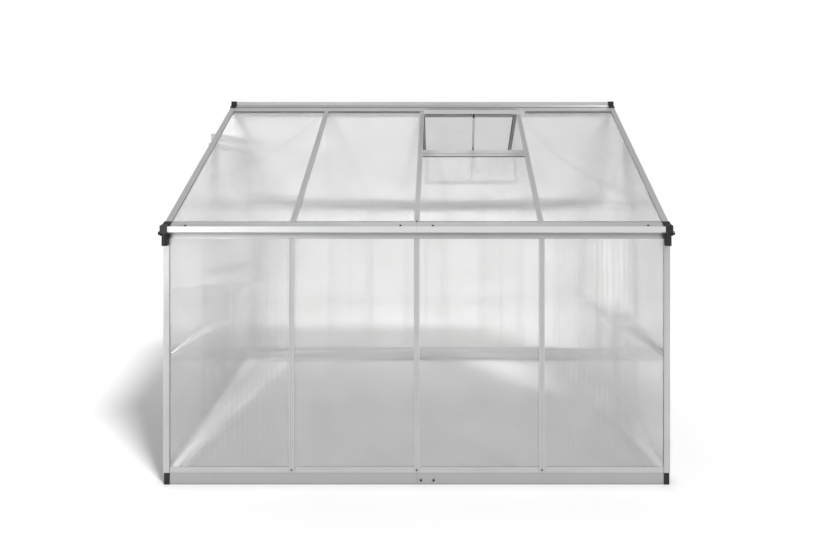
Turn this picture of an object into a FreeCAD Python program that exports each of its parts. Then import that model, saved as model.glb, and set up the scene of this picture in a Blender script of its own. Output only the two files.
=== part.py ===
import FreeCAD, Part
import math
import os
from collections import namedtuple

# A walk-in garden greenhouse with a gabled roof: an aluminium frame on a low steel base,
# twin-wall sheets in its grooves, a gutter at each eave, one roof vent held by a peg stay,
# and a top-hung door that slides along the left gable.
# X runs along the ridge, Y across the house, Z up. The origin is on the ground at the
# centre of the footprint. All sizes are in millimetres and all angles in degrees.

Vector = FreeCAD.Vector

# ------------------------------------------------------------------ driving dimensions
BAY_COUNT = 4  # bays along each side wall
BAY_PITCH = 602.5  # centre to centre of the side wall's bars
HOUSE_WIDTH = 1900.0  # outer face to outer face of the side walls
EAVE_HEIGHT = 1250.0  # where the roof's outer plane meets the side wall's outer plane
ROOF_PITCH = 35.6
RIDGE_BOX_HEIGHT = 18.0  # the ridge's raised box above the roof's apex
CORNER_WIDTH = 30.0  # visible face of a corner post and of a gable rafter

BASE_HEIGHT = 58.0
BASE_FLANGE = 40.0
BASE_SHEET = 1.5
BASE_INSET = 5.0  # base rail's face behind the wall's outer plane
SILL_HEIGHT = 27.0
MID_RAIL_HEIGHT = 615.0  # centre line of the gable's rails

DOOR_BAY = 620.0  # centre to centre of the gable's two middle bars
DOOR_WIDTH = 640.0
DOOR_THICKNESS = 20.0
DOOR_BOTTOM = 66.0
DOOR_HEAD_DROP = 58.2  # centre line of the rail over the doorway, below the roof beside it
DOOR_MID_HEIGHT = 880.0
DOOR_TRAVEL = 600.0

VENT_BAY = 2  # counted from the left end, starting at 0
VENT_SIDE_GAP = 24.0  # sash edge to the centre line of the roof bar beside it
VENT_HINGE_BELOW_APEX = 90.0  # along the slope
VENT_SASH_FOOT = 565.0  # lower edge of the closed sash, along the slope from the apex
VENT_REST_ANGLE = 28.6  # the sash stands this far open
CROSS_BAR_TOP = 519.0  # along the slope from the apex
CROSS_BAR_FOOT = 580.0
STAY_LENGTH = 330.0
STAY_PIVOT_BELOW_APEX = 500.0
STAY_PIVOT_DEPTH = 22.0  # under the roof's outer plane when the vent is closed

PANEL = 4.0  # thickness of the glazing sheet
PANEL_GAP = 0.5  # play between the sheet and each side of its groove
EDGE_GAP = 2.0  # play at the sheet's edges
CLEAR = 0.5  # play between two pieces of the frame that meet end to end
FACE = 2.0  # outer flange of a glazing bar
WALL = 1.6  # every other wall of an extrusion
BAR_FACE = 27.0
BAR_WEB = 2.0
BAR_DEPTH = 28.0
CHANNEL_WIDTH = 16.0  # bolt channel on the bar's inner edge
CHANNEL_DEPTH = 8.0
CHANNEL_SLOT = 6.5
GROOVE_OFFSET = 3.2  # fine grooves on the bar's face
GROOVE_WIDTH = 1.6
GROOVE_DEPTH = 0.8
LIP = 1.2
CORNER_TUBE = 16.0

GUTTER_REACH = 29.0  # gutter's lip in front of the wall plane
GUTTER_DROP = 36.0  # gutter's floor below the eave height
GUTTER_LIP_DROP = 3.0  # top of the lip below the eave height
TOP_RAIL_DROP = 30.0  # wall groove below the gutter's floor
EAVE_FLANGE_LOW = -12.0  # sloped flange, along the slope from the eave line
EAVE_FLANGE_HIGH = 21.0
EAVE_LEG_HIGH = 40.0
END_CAP_LENGTH = 32.0
END_PLATE = 2.4
SPOUT_RADIUS = 14.5
SPOUT_WALL = 1.8
SPOUT_LENGTH = 60.0
SPOUT_FROM_END = 13.0 + 2.0
PLUG_RADIUS = 9.0
PLUG_LENGTH = 12.0

RIDGE_CAP_REACH = 33.0  # raised cap flange, along the slope from the apex
RIDGE_WING_REACH = 82.0  # wing in the plane of the bars' faces
RIDGE_LEG_REACH = 110.0
RIDGE_STOP = 40.0  # the sheets' upper edges end this far below the apex
RIDGE_WEB_DEPTH = 48.0

HINGE_BEAD = 3.0  # radius of the ridge's hinge bead
HINGE_PLAY = 0.06
HINGE_DEPTH = -4.0  # the bead's centre, above the roof's outer plane
SOCKET_MOUTH = (-42.0, 56.0)  # the socket's open part, from uphill towards the house, when closed
SASH_TOP = -22.0  # the sash frame's outer face, above the roof's outer plane
SASH_UNDERSIDE = -3.0
SASH_RAIL = 20.0

BOLT_HEAD = 5.0
BOLT_SHANK = 2.5
BOLT_PLAY = 0.3

# ------------------------------------------------------------------ derived sizes
HOUSE_LENGTH = BAY_COUNT * BAY_PITCH + CORNER_WIDTH
HALF_LENGTH = HOUSE_LENGTH / 2
HALF_WIDTH = HOUSE_WIDTH / 2
SLOPE = math.radians(ROOF_PITCH)
APEX = HALF_WIDTH / math.cos(SLOPE)  # slope length from the eave line to the apex
APEX_HEIGHT = EAVE_HEIGHT + HALF_WIDTH * math.tan(SLOPE)
RIDGE_TOP = APEX_HEIGHT + RIDGE_BOX_HEIGHT

LEG_FRONT = FACE + 0.2
LEG_MIDDLE = LEG_FRONT + WALL / 2
LIP_END = LEG_FRONT + WALL
PANEL_FRONT = LIP_END + PANEL_GAP
PANEL_BACK = PANEL_FRONT + PANEL
SEAT_MIDDLE = PANEL_BACK + PANEL_GAP + WALL / 2
SEAT_BACK = SEAT_MIDDLE + WALL / 2
NOTCH_BACK = SEAT_BACK + CLEAR
PANEL_CORNER_EDGE = CORNER_TUBE + EDGE_GAP
PANEL_BAR_EDGE = BAR_WEB / 2 + EDGE_GAP
SILL_TOP = BASE_HEIGHT + SILL_HEIGHT
GUTTER_FLOOR = EAVE_HEIGHT - GUTTER_DROP
TOP_RAIL_FOOT = GUTTER_FLOOR - TOP_RAIL_DROP
GABLE_DEPTH = CORNER_WIDTH + CLEAR  # depth of a gable rafter below the roof plane, with play
BAR_LINES = [CORNER_WIDTH / 2 + BAY_PITCH * index for index in range(1, BAY_COUNT)]
GABLE_BARS = [HALF_WIDTH - DOOR_BAY / 2, HALF_WIDTH + DOOR_BAY / 2]
DOOR_HEAD_HEIGHT = EAVE_HEIGHT + GABLE_BARS[0] * math.tan(SLOPE) - DOOR_HEAD_DROP
PANEL_EDGES = list(
    zip(
        [PANEL_CORNER_EDGE] + [line + PANEL_BAR_EDGE for line in BAR_LINES],
        [line - PANEL_BAR_EDGE for line in BAR_LINES] + [HOUSE_LENGTH - PANEL_CORNER_EDGE],
    )
)

# ------------------------------------------------------------------ planes of the house
# A plane has a corner, a direction along it, one up it and one into the house.
Plane = namedtuple("Plane", "origin along up inward")
UP = Vector(0, 0, 1)


def wall_plane(x, y, along, inward):
    """Upright plane through a corner of the house, measured from the ground."""
    return Plane(Vector(x, y, 0), along, UP, inward)


def roof_plane(x, side):
    """Outer plane of a roof slope: side is -1 for the front slope and +1 for the rear one."""
    across = Vector(0, -side, 0)
    along = Vector(1 if x < 0 else -1, 0, 0)
    uphill = across * math.cos(SLOPE) + UP * math.sin(SLOPE)
    inward = across * math.sin(SLOPE) - UP * math.cos(SLOPE)
    return Plane(Vector(x, side * HALF_WIDTH, EAVE_HEIGHT), along, uphill, inward)


EAST, NORTH = Vector(1, 0, 0), Vector(0, 1, 0)
FRONT = wall_plane(-HALF_LENGTH, -HALF_WIDTH, EAST, NORTH)
REAR = wall_plane(-HALF_LENGTH, HALF_WIDTH, EAST, -NORTH)
LEFT = wall_plane(-HALF_LENGTH, -HALF_WIDTH, NORTH, EAST)
RIGHT = wall_plane(HALF_LENGTH, -HALF_WIDTH, NORTH, -EAST)
FRONT_FROM_RIGHT = wall_plane(HALF_LENGTH, -HALF_WIDTH, -EAST, NORTH)
REAR_FROM_RIGHT = wall_plane(HALF_LENGTH, HALF_WIDTH, -EAST, -NORTH)
FRONT_ROOF = roof_plane(-HALF_LENGTH, -1)
REAR_ROOF = roof_plane(-HALF_LENGTH, 1)
FRONT_ROOF_FROM_RIGHT = roof_plane(HALF_LENGTH, -1)
REAR_ROOF_FROM_RIGHT = roof_plane(HALF_LENGTH, 1)


# ------------------------------------------------------------------ shape helpers
def at(plane, along, up, depth):
    """Point of a plane's own coordinates."""
    return plane.origin + plane.along * along + plane.up * up + plane.inward * depth


def extruded(corners, run):
    """Solid made by carrying a closed outline along a run."""
    solid = Part.Face(Part.makePolygon(corners + corners[:1])).extrude(run)
    return solid if solid.Volume > 0 else solid.reversed()


def joined(pieces):
    """One solid from pieces that run into each other."""
    shape = pieces[0].fuse(pieces[1:]).removeSplitter() if len(pieces) > 1 else pieces[0]
    if len(shape.Solids) != 1:
        raise ValueError("a section's walls don't all meet")
    return shape.Solids[0]


def upright(plane, outlines, along, low, high):
    """Bar that runs up a plane; its outlines are in (along, depth) about the line given."""
    run = plane.up * (high - low)
    return joined([extruded([at(plane, along + a, low, d) for a, d in o], run) for o in outlines])


def lengthwise(plane, outlines, start, end):
    """Bar that runs along a plane; its outlines are in (depth, up)."""
    run = plane.along * (end - start)
    return joined([extruded([at(plane, start, w, d) for d, w in o], run) for o in outlines])


def sheet(plane, outline, front, thickness):
    """Flat piece that lies in a plane; its outline is in (along, up)."""
    return extruded([at(plane, a, w, front) for a, w in outline], plane.inward * thickness)


def block(plane, along, up, depth):
    """Box between two values of each of the plane's coordinates."""
    return sheet(plane, rectangle(*along, *up), depth[0], depth[1] - depth[0])


def rod(centre, direction, radius, length):
    """Round bar from a point along a direction."""
    return Part.makeCylinder(radius, length, centre, direction)


def rectangle(a_low, a_high, b_low, b_high):
    """Outline of a rectangle."""
    return [(a_low, b_low), (a_high, b_low), (a_high, b_high), (a_low, b_high)]


def strip(path, thickness=WALL):
    """Outline of a thin wall around an open path, with mitred corners."""
    sides = []
    for index, (a, b) in enumerate(path):
        normals = []
        for start, end in zip(path[max(index - 1, 0) : index + 1], path[max(index, 1) : index + 2]):
            length = math.dist(start, end)
            normals.append(((start[1] - end[1]) / length, (end[0] - start[0]) / length))
        total = [sum(n[0] for n in normals), sum(n[1] for n in normals)]
        scale = thickness / 2 * len(normals) / (total[0] ** 2 + total[1] ** 2)
        shift = (total[0] * scale, total[1] * scale)
        sides.append(((a + shift[0], b + shift[1]), (a - shift[0], b - shift[1])))
    return [left for left, _ in sides] + [right for _, right in reversed(sides)]


def swapped(outlines):
    """The same outlines with their two coordinates exchanged."""
    return [[(b, a) for a, b in outline] for outline in outlines]


def mirrored(outlines):
    """The same outlines turned about the line through their origin."""
    return [[(-a, b) for a, b in outline] for outline in outlines]


def moved(outlines, a_shift, b_shift):
    """The same outlines in another place."""
    return [[(a + a_shift, b + b_shift) for a, b in outline] for outline in outlines]


def save(name, solids):
    """Write one sub-part, which may be several like pieces."""
    shape = solids[0] if len(solids) == 1 else Part.makeCompound(solids)
    shape.exportStep("parts/" + name + ".step")


def below_roof(slope_length, depth):
    """(depth, height) in a side wall's coordinates of a point given in the roof's."""
    return (
        slope_length * math.cos(SLOPE) + depth * math.sin(SLOPE),
        EAVE_HEIGHT + slope_length * math.sin(SLOPE) - depth * math.cos(SLOPE),
    )


def under_apex(depth):
    """(depth, height) in a side wall's coordinates of the apex line at a depth below the roof plane."""
    return (HALF_WIDTH, APEX_HEIGHT - depth / math.cos(SLOPE))


def gable_height(along, depth):
    """Height on a gable, at a distance from its corner, of the line that deep below the roof plane."""
    run = min(along, HOUSE_WIDTH - along)
    return EAVE_HEIGHT + run * math.tan(SLOPE) - depth / math.cos(SLOPE)


# ------------------------------------------------------------------ sections of the extrusions
def glazing_bar():
    """T-shaped bar with a grooved face, lips against the sheets and a bolt channel inside."""
    face, web, channel = BAR_FACE / 2, BAR_WEB / 2, CHANNEL_WIDTH / 2
    half = [
        (GROOVE_OFFSET, 0),
        (GROOVE_OFFSET, GROOVE_DEPTH),
        (GROOVE_OFFSET + GROOVE_WIDTH, GROOVE_DEPTH),
        (GROOVE_OFFSET + GROOVE_WIDTH, 0),
        (face, 0),
        (face, LIP_END),
        (face - LIP, LIP_END),
        (face - LIP, FACE),
        (web, FACE),
        (web, BAR_DEPTH - CHANNEL_DEPTH),
        (channel, BAR_DEPTH - CHANNEL_DEPTH),
        (channel, BAR_DEPTH),
        (CHANNEL_SLOT / 2, BAR_DEPTH),
        (CHANNEL_SLOT / 2, BAR_DEPTH - WALL),
        (channel - WALL, BAR_DEPTH - WALL),
        (channel - WALL, BAR_DEPTH - CHANNEL_DEPTH + WALL),
    ]
    return [half + [(-a, b) for a, b in reversed(half)]]


def corner_section():
    """Corner extrusion: two faces, a square tube behind them and a groove for each wall's sheet."""
    seat = (SEAT_MIDDLE - WALL / 2, SEAT_BACK)
    arm = [
        rectangle(0, CORNER_WIDTH, 0, FACE),
        rectangle(CORNER_WIDTH - LIP, CORNER_WIDTH, 0, LIP_END),
        rectangle(CORNER_TUBE - WALL, CORNER_TUBE, 0, CORNER_TUBE),
        rectangle(CORNER_TUBE - WALL, CORNER_WIDTH, *seat),
    ]
    return arm + swapped(arm)


def sill_section(foot):
    """Bottom rail: a face, a foot that stands on the base and a groove for the sheet, in (depth, up)."""
    floor = foot + WALL / 2
    return [
        strip([(LEG_MIDDLE, foot + SILL_HEIGHT), (LEG_MIDDLE, floor), (CORNER_WIDTH, floor)]),
        strip([(SEAT_MIDDLE, foot + SILL_HEIGHT * 0.75), (SEAT_MIDDLE, floor)]),
    ]


def eave_section():
    """Eave rail with its gutter, in (depth, up) of the side wall."""
    lip_top = EAVE_HEIGHT - GUTTER_LIP_DROP
    bevel = 7.0
    web_line = LEG_MIDDLE + 1.0
    flange_mid = FACE / 2
    web_top = EAVE_HEIGHT + web_line * math.tan(SLOPE) - flange_mid / math.cos(SLOPE)
    leg_start = (web_line - SEAT_MIDDLE * math.sin(SLOPE)) / math.cos(SLOPE)
    trough = [
        (-GUTTER_REACH, lip_top),
        (-GUTTER_REACH, GUTTER_FLOOR + bevel),
        (bevel - GUTTER_REACH, GUTTER_FLOOR),
        (CORNER_WIDTH, GUTTER_FLOOR),
    ]
    return [
        strip(trough),
        strip([(web_line, GUTTER_FLOOR), (web_line, web_top)]),
        strip([below_roof(EAVE_FLANGE_LOW, flange_mid), below_roof(EAVE_FLANGE_HIGH, flange_mid)], FACE),
        strip([below_roof(leg_start, SEAT_MIDDLE), below_roof(EAVE_LEG_HIGH, SEAT_MIDDLE)]),
        strip([(LEG_MIDDLE, GUTTER_FLOOR), (LEG_MIDDLE, TOP_RAIL_FOOT)]),
        strip([(SEAT_MIDDLE, GUTTER_FLOOR), (SEAT_MIDDLE, TOP_RAIL_FOOT)]),
    ]


RIDGE_CAP_DEPTH = -WALL - 0.2  # middle of the raised cap flange, above the roof plane


def ridge_half_section():
    """One slope's half of the ridge beam, in (depth, up) of that side's wall."""
    stop = APEX - RIDGE_STOP + 2 * EDGE_GAP + WALL
    box = HALF_WIDTH - 8.2
    return [
        strip([below_roof(APEX - RIDGE_CAP_REACH, RIDGE_CAP_DEPTH), under_apex(RIDGE_CAP_DEPTH)]),
        strip([below_roof(APEX - RIDGE_WING_REACH, FACE / 2), below_roof(APEX - 22, FACE / 2)], FACE),
        strip([below_roof(stop + 8, RIDGE_CAP_DEPTH), below_roof(stop + 8, SEAT_MIDDLE)]),
        strip([below_roof(APEX - RIDGE_LEG_REACH, SEAT_MIDDLE), under_apex(SEAT_MIDDLE)]),
        strip([(box, APEX_HEIGHT - 4), (box, RIDGE_TOP - WALL / 2), (HALF_WIDTH, RIDGE_TOP - WALL / 2)]),
    ]


def edge_channel(width, outer, inner, leg):
    """Frame rail of a sash or door, in (across, depth) from its outer edge: the sheet slides in
    behind the outer leg."""
    seat = outer + WALL + PANEL + 2 * PANEL_GAP + WALL / 2
    return [
        rectangle(0, WALL, outer, inner),
        rectangle(0, width, outer, outer + WALL),
        rectangle(0, leg, seat - WALL / 2, seat + WALL / 2),
        rectangle(0, leg, inner - WALL, inner),
    ]


# ------------------------------------------------------------------ base
def base_section():
    """Steel channel that lies on its back to the garden, in (depth, up)."""
    half = BASE_SHEET / 2
    inner = BASE_INSET + BASE_FLANGE
    web = BASE_INSET + half
    top = BASE_HEIGHT - half
    return [strip([(inner, top), (web, top), (web, half), (inner, half)], BASE_SHEET)]


BASE_BOLT_OFFSETS = (20.0, 81.0)  # from the joint in the middle of each long side
BASE_BOLT_HEIGHT = 20.0
ANCHOR_SPACING = 1200.0
ANCHOR_HOLE = 4.5
ANCHOR_DEPTH = BASE_INSET + BASE_FLANGE * 0.6
SPLICE = (200.0, 44.0, 2.0)


def base_bolt_points(plane):
    """Centres of the bolts beside the joint, on the base rail's face."""
    return [at(plane, HALF_LENGTH + offset, BASE_BOLT_HEIGHT, BASE_INSET) for offset in BASE_BOLT_OFFSETS]


def drilled(solid, points, direction, radius, length=30.0):
    """The solid with round holes through it."""
    for point in points:
        solid = solid.cut(rod(point - direction * (length / 2), direction, radius, length))
    return solid


def build_base():
    corner_leg = (28.0, BASE_INSET + BASE_FLANGE + 1.0)
    cap_sheet = 1.8
    cap_face = BASE_INSET - 0.2 - cap_sheet
    splice_front = BASE_INSET + BASE_SHEET + 0.1
    splices, caps = [], []
    for name, plane in (("base_front", FRONT), ("base_rear", REAR)):
        halves = []
        for start, end in ((BASE_INSET, HALF_LENGTH - 0.5), (HALF_LENGTH + 0.5, HOUSE_LENGTH - BASE_INSET)):
            rail = lengthwise(plane, base_section(), start, end)
            halves.append(drilled(rail, base_bolt_points(plane), plane.inward, BOLT_SHANK + BOLT_PLAY))
        save(name, halves)
        middle = BASE_HEIGHT / 2
        ends = (HALF_LENGTH - SPLICE[0] / 2, HALF_LENGTH + SPLICE[0] / 2)
        heights = (middle - SPLICE[1] / 2, middle + SPLICE[1] / 2)
        plate = block(plane, ends, heights, (splice_front, splice_front + SPLICE[2]))
        splices.append(drilled(plate, base_bolt_points(plane), plane.inward, BOLT_SHANK + BOLT_PLAY))
    gables = []
    for plane in (LEFT, RIGHT):
        start = BASE_INSET + BASE_FLANGE + CLEAR
        rail = lengthwise(plane, base_section(), start, HOUSE_WIDTH - start)
        anchors = [at(plane, HALF_WIDTH + s * ANCHOR_SPACING / 2, 0, ANCHOR_DEPTH) for s in (-1, 1)]
        gables.append(drilled(rail, anchors, UP, ANCHOR_HOLE))
    save("base_gables", gables)
    for plane in (FRONT, FRONT_FROM_RIGHT, REAR, REAR_FROM_RIGHT):
        outline = strip(
            [(corner_leg[0], cap_face), (cap_face, cap_face), (cap_face, corner_leg[1])],
            cap_sheet,
        )
        shifted = moved([outline], cap_sheet / 2, cap_sheet / 2)
        caps.append(upright(plane, shifted, 0, 0, BASE_HEIGHT - 0.2))
    save("base_corner_caps", caps)
    return splices


def build_base_bolts():
    bolts = []
    head_height, nut_height = 3.5, 4.0
    nut_start = BASE_SHEET + 0.1 + SPLICE[2]
    for plane in (FRONT, REAR):
        for point in base_bolt_points(plane):
            head = rod(point - plane.inward * head_height, plane.inward, BOLT_HEAD, head_height)
            shank = rod(point - plane.inward, plane.inward, BOLT_SHANK, nut_start + nut_height + 2)
            nut = rod(point + plane.inward * nut_start, plane.inward, BOLT_HEAD * 0.9, nut_height)
            bolts.append(joined([head, shank, nut]))
    save("base_bolts", bolts)


# ------------------------------------------------------------------ side walls and eaves
STUD_FOOT = BASE_HEIGHT + WALL + 0.2
STUD_BOLT_HEIGHT = BASE_HEIGHT + SILL_HEIGHT / 2


def wall_bar(plane, along, top_cut):
    """Glazing bar that stands in a sill; top_cut removes what would meet the rail over it."""
    bar = upright(plane, glazing_bar(), along, STUD_FOOT, EAVE_HEIGHT * 2)
    beside = (along - BAR_FACE, along + BAR_FACE)
    bar = bar.cut(block(plane, beside, (0, SILL_TOP + CLEAR), (FACE, NOTCH_BACK)))
    for cutter in top_cut:
        bar = bar.cut(cutter)
    return bar


def stud_bolt_points(plane, lines):
    """Centres of the bolts at the feet of a wall's bars."""
    return [at(plane, line, STUD_BOLT_HEIGHT, 0) for line in lines]


def build_side_walls():
    for name, plane in (("front", FRONT), ("rear", REAR)):
        points = stud_bolt_points(plane, BAR_LINES)
        start = CORNER_WIDTH + CLEAR
        sill = lengthwise(plane, sill_section(BASE_HEIGHT), start, HOUSE_LENGTH - start)
        save("sill_" + name, [drilled(sill, points, plane.inward, BOLT_SHANK, 8.0)])
        whole = (-CORNER_WIDTH, HOUSE_LENGTH + CORNER_WIDTH)
        above_groove = block(plane, whole, (TOP_RAIL_FOOT - CLEAR, RIDGE_TOP * 2), (-CLEAR, NOTCH_BACK))
        above_floor = block(plane, whole, (GUTTER_FLOOR - WALL, RIDGE_TOP * 2), (-CLEAR, BAR_DEPTH * 2))
        studs = []
        for line in BAR_LINES:
            stud = wall_bar(plane, line, [above_groove, above_floor])
            studs.append(drilled(stud, points, plane.inward, BOLT_SHANK, 8.0))
        save("studs_" + name, studs)
        panels = []
        low, high = BASE_HEIGHT + WALL + CLEAR, GUTTER_FLOOR - WALL - EDGE_GAP
        for start, end in PANEL_EDGES:
            panels.append(sheet(plane, rectangle(start, end, low, high), PANEL_FRONT, PANEL))
        save("wall_panels_" + name, panels)
        build_gutter("eave_gutter_" + name, plane)


def corner_post(plane, roof):
    """Corner extrusion from the base to the underside of the gable rafter."""
    post = upright(plane, corner_section(), 0, BASE_HEIGHT, RIDGE_TOP)
    over = block(roof, (-CORNER_WIDTH, CORNER_WIDTH * 2), (-HALF_WIDTH, APEX), (-APEX_HEIGHT, GABLE_DEPTH))
    return post.cut(over)


def build_corner_posts():
    corners = (
        ("front_left", FRONT, FRONT_ROOF),
        ("front_right", FRONT_FROM_RIGHT, FRONT_ROOF_FROM_RIGHT),
        ("rear_left", REAR, REAR_ROOF),
        ("rear_right", REAR_FROM_RIGHT, REAR_ROOF_FROM_RIGHT),
    )
    for name, plane, roof in corners:
        save("corner_post_" + name, [corner_post(plane, roof)])


SPOUT_DEPTH = -SPOUT_RADIUS - 1.5  # centre of the spout, in front of the wall plane
SPOUT_HOLE = 8.0
GUTTER_BOLT_SLOPE = -3.5
GUTTER_BOLT_LINES = (107.0, HALF_LENGTH - 78.0, HALF_LENGTH + 78.0, HOUSE_LENGTH - 107.0)
JOINT_PLATE = (200.0, 9.0, 2.0)


def gutter_bolt_points(roof):
    """Centres of the bolts in the eave rail's sloped flange."""
    return [at(roof, line, GUTTER_BOLT_SLOPE, 0) for line in GUTTER_BOLT_LINES]


def build_gutter(name, plane):
    roof = FRONT_ROOF if plane is FRONT else REAR_ROOF
    spouts = [at(plane, SPOUT_FROM_END, GUTTER_FLOOR, SPOUT_DEPTH + 1)]
    spouts.append(at(plane, HOUSE_LENGTH - SPOUT_FROM_END, GUTTER_FLOOR, SPOUT_DEPTH + 1))
    halves = []
    for start, end in ((0, HALF_LENGTH - 0.3), (HALF_LENGTH + 0.3, HOUSE_LENGTH)):
        rail = lengthwise(plane, eave_section(), start, end)
        for ends in ((-1, GABLE_DEPTH), (HOUSE_LENGTH - GABLE_DEPTH, HOUSE_LENGTH + 1)):
            rail = rail.cut(block(plane, ends, (0, RIDGE_TOP), (-CLEAR, CORNER_WIDTH * 3)))
        rail = drilled(rail, spouts, UP, SPOUT_HOLE, 10.0)
        halves.append(drilled(rail, gutter_bolt_points(roof), roof.inward, BOLT_SHANK + BOLT_PLAY / 2, 6.0))
    save(name, halves)


def build_gutter_fittings():
    caps, spouts, plates = [], [], []
    lip_top = EAVE_HEIGHT - GUTTER_LIP_DROP
    rise = CORNER_WIDTH * 0.63
    hood = [
        (-GUTTER_REACH - 2.2, GUTTER_FLOOR - 2),
        (-GUTTER_REACH - 2.2, lip_top + 2.2),
        (0, EAVE_HEIGHT + 5),
        (rise, EAVE_HEIGHT + rise * math.tan(SLOPE) + 2.6),
    ]
    plate = [
        (hood[0][0] - WALL / 2, GUTTER_FLOOR - 12),
        (hood[1][0] - WALL / 2, hood[1][1] + WALL / 2),
        (hood[2][0], hood[2][1] + WALL / 2),
        (hood[3][0], hood[3][1] + WALL / 2),
        (hood[3][0], EAVE_HEIGHT - 14),
        (0, GUTTER_FLOOR - 12),
    ]
    for plane in (FRONT, FRONT_FROM_RIGHT, REAR, REAR_FROM_RIGHT):
        rim = lengthwise(plane, [strip(hood)], -END_PLATE, END_CAP_LENGTH)
        side = lengthwise(plane, [plate], -END_PLATE, -0.1)
        plug_start = at(plane, -END_PLATE - PLUG_LENGTH, GUTTER_FLOOR - 1, SPOUT_DEPTH + 1)
        plug = rod(plug_start, plane.along, PLUG_RADIUS, PLUG_LENGTH + 1)
        caps.append(joined([rim, side, plug]))
        top = at(plane, SPOUT_FROM_END, GUTTER_FLOOR - WALL / 2 - 0.1, SPOUT_DEPTH)
        tube = rod(top, -UP, SPOUT_RADIUS, SPOUT_LENGTH)
        spouts.append(tube.cut(rod(top, -UP, SPOUT_RADIUS - SPOUT_WALL, SPOUT_LENGTH)))
    for roof in (FRONT_ROOF, REAR_ROOF):
        ends = (HALF_LENGTH - JOINT_PLATE[0] / 2, HALF_LENGTH + JOINT_PLATE[0] / 2)
        across = (GUTTER_BOLT_SLOPE - JOINT_PLATE[1] * 0.6, GUTTER_BOLT_SLOPE + JOINT_PLATE[1] * 0.4)
        joint = block(roof, ends, across, (FACE + 0.1, FACE + 0.1 + JOINT_PLATE[2]))
        points = gutter_bolt_points(roof)
        plates.append(drilled(joint, points, roof.inward, BOLT_SHANK + BOLT_PLAY / 2, 12.0))
    save("gutter_end_caps", caps)
    save("gutter_spouts", spouts)
    return plates


RAFTER_BOLT_SLOPE = EAVE_FLANGE_HIGH + CLEAR + 6.0
ROOF_PANEL_FOOT = EAVE_FLANGE_HIGH / 2  # sheets' lower edges, in the eave rail's groove


def build_small_bolts():
    """Pan-head bolts of the eaves, of the middle roof bar's feet and of the wall bars' feet."""
    head_height = 2.4
    gutter, studs = [], []
    for roof in (FRONT_ROOF, REAR_ROOF):
        for point in gutter_bolt_points(roof):
            head = rod(point - roof.inward * head_height, roof.inward, BOLT_HEAD, head_height)
            shank = rod(point - roof.inward, roof.inward, BOLT_SHANK, FACE + JOINT_PLATE[2] + 2)
            gutter.append(joined([head, shank]))
        point = at(roof, HALF_LENGTH, RAFTER_BOLT_SLOPE, 0)
        gutter.append(rod(point - roof.inward * head_height, roof.inward, BOLT_HEAD * 0.8, head_height))
    for plane in (FRONT, REAR):
        for point in stud_bolt_points(plane, BAR_LINES):
            head = rod(point - plane.inward * head_height, plane.inward, BOLT_HEAD * 0.7, head_height)
            shank = rod(point - plane.inward, plane.inward, BOLT_SHANK - BOLT_PLAY, LEG_FRONT + WALL + 1.2)
            studs.append(joined([head, shank]))
    save("frame_bolts", gutter + studs)


# ------------------------------------------------------------------ roof
def beyond_middle(plane):
    """Everything on the far side of the ridge's web, seen from a side wall."""
    reach = (HALF_WIDTH - WALL / 2 - CLEAR, HOUSE_WIDTH)
    return block(plane, (-CORNER_WIDTH, HOUSE_LENGTH + CORNER_WIDTH), (0, RIDGE_TOP * 2), reach)


def roof_bar(plane, roof, line):
    """Glazing bar from the eave rail to the ridge."""
    bar = upright(roof, glazing_bar(), line, -CORNER_WIDTH, APEX + CORNER_WIDTH * 2)
    beside = (line - BAR_FACE, line + BAR_FACE)
    wing, leg = APEX - RIDGE_WING_REACH - CLEAR, APEX - RIDGE_LEG_REACH - CLEAR
    far = APEX * 2
    cutters = [
        block(roof, beside, (-far, EAVE_FLANGE_HIGH + CLEAR), (-CLEAR, NOTCH_BACK)),
        block(roof, beside, (-far, EAVE_LEG_HIGH + CLEAR), (FACE, NOTCH_BACK)),
        block(roof, beside, (wing, far), (-CLEAR, NOTCH_BACK)),
        block(roof, beside, (leg, far), (FACE, NOTCH_BACK)),
        block(plane, beside, (0, RIDGE_TOP * 2), (-HALF_WIDTH, LEG_MIDDLE + WALL + CLEAR)),
        block(plane, beside, (0, GUTTER_FLOOR + WALL / 2 + CLEAR), (0, BAR_DEPTH * 2)),
        beyond_middle(plane),
    ]
    for cutter in cutters:
        bar = bar.cut(cutter)
    return bar


def build_roof():
    for name, plane, roof in (("front", FRONT, FRONT_ROOF), ("rear", REAR, REAR_ROOF)):
        save("roof_bars_" + name, [roof_bar(plane, roof, line) for line in BAR_LINES])
        panels = []
        for index, (start, end) in enumerate(PANEL_EDGES):
            below_vent = name == "front" and index == VENT_BAY
            top = APEX - (CROSS_BAR_GROOVE if below_vent else RIDGE_STOP) - EDGE_GAP
            outline = rectangle(start, end, ROOF_PANEL_FOOT, top)
            panels.append(sheet(roof, outline, PANEL_FRONT, PANEL))
        save("roof_panels_" + name, panels)
    ends = (
        ("left", ((FRONT, FRONT_ROOF), (REAR, REAR_ROOF))),
        ("right", ((FRONT_FROM_RIGHT, FRONT_ROOF_FROM_RIGHT), (REAR_FROM_RIGHT, REAR_ROOF_FROM_RIGHT))),
    )
    for name, sides in ends:
        rafters = []
        for plane, roof in sides:
            rafter = upright(roof, corner_section(), 0, -CORNER_WIDTH, APEX + CORNER_WIDTH * 2)
            outside = block(plane, (-1, CORNER_WIDTH * 2), (0, RIDGE_TOP), (-HALF_WIDTH, 0.2))
            inside = block(plane, (-1, CORNER_WIDTH * 2), (0, RIDGE_TOP * 2), (HALF_WIDTH - 0.2, HOUSE_WIDTH))
            rafters.append(rafter.cut(outside).cut(inside))
        save("gable_rafters_" + name, rafters)


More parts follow.
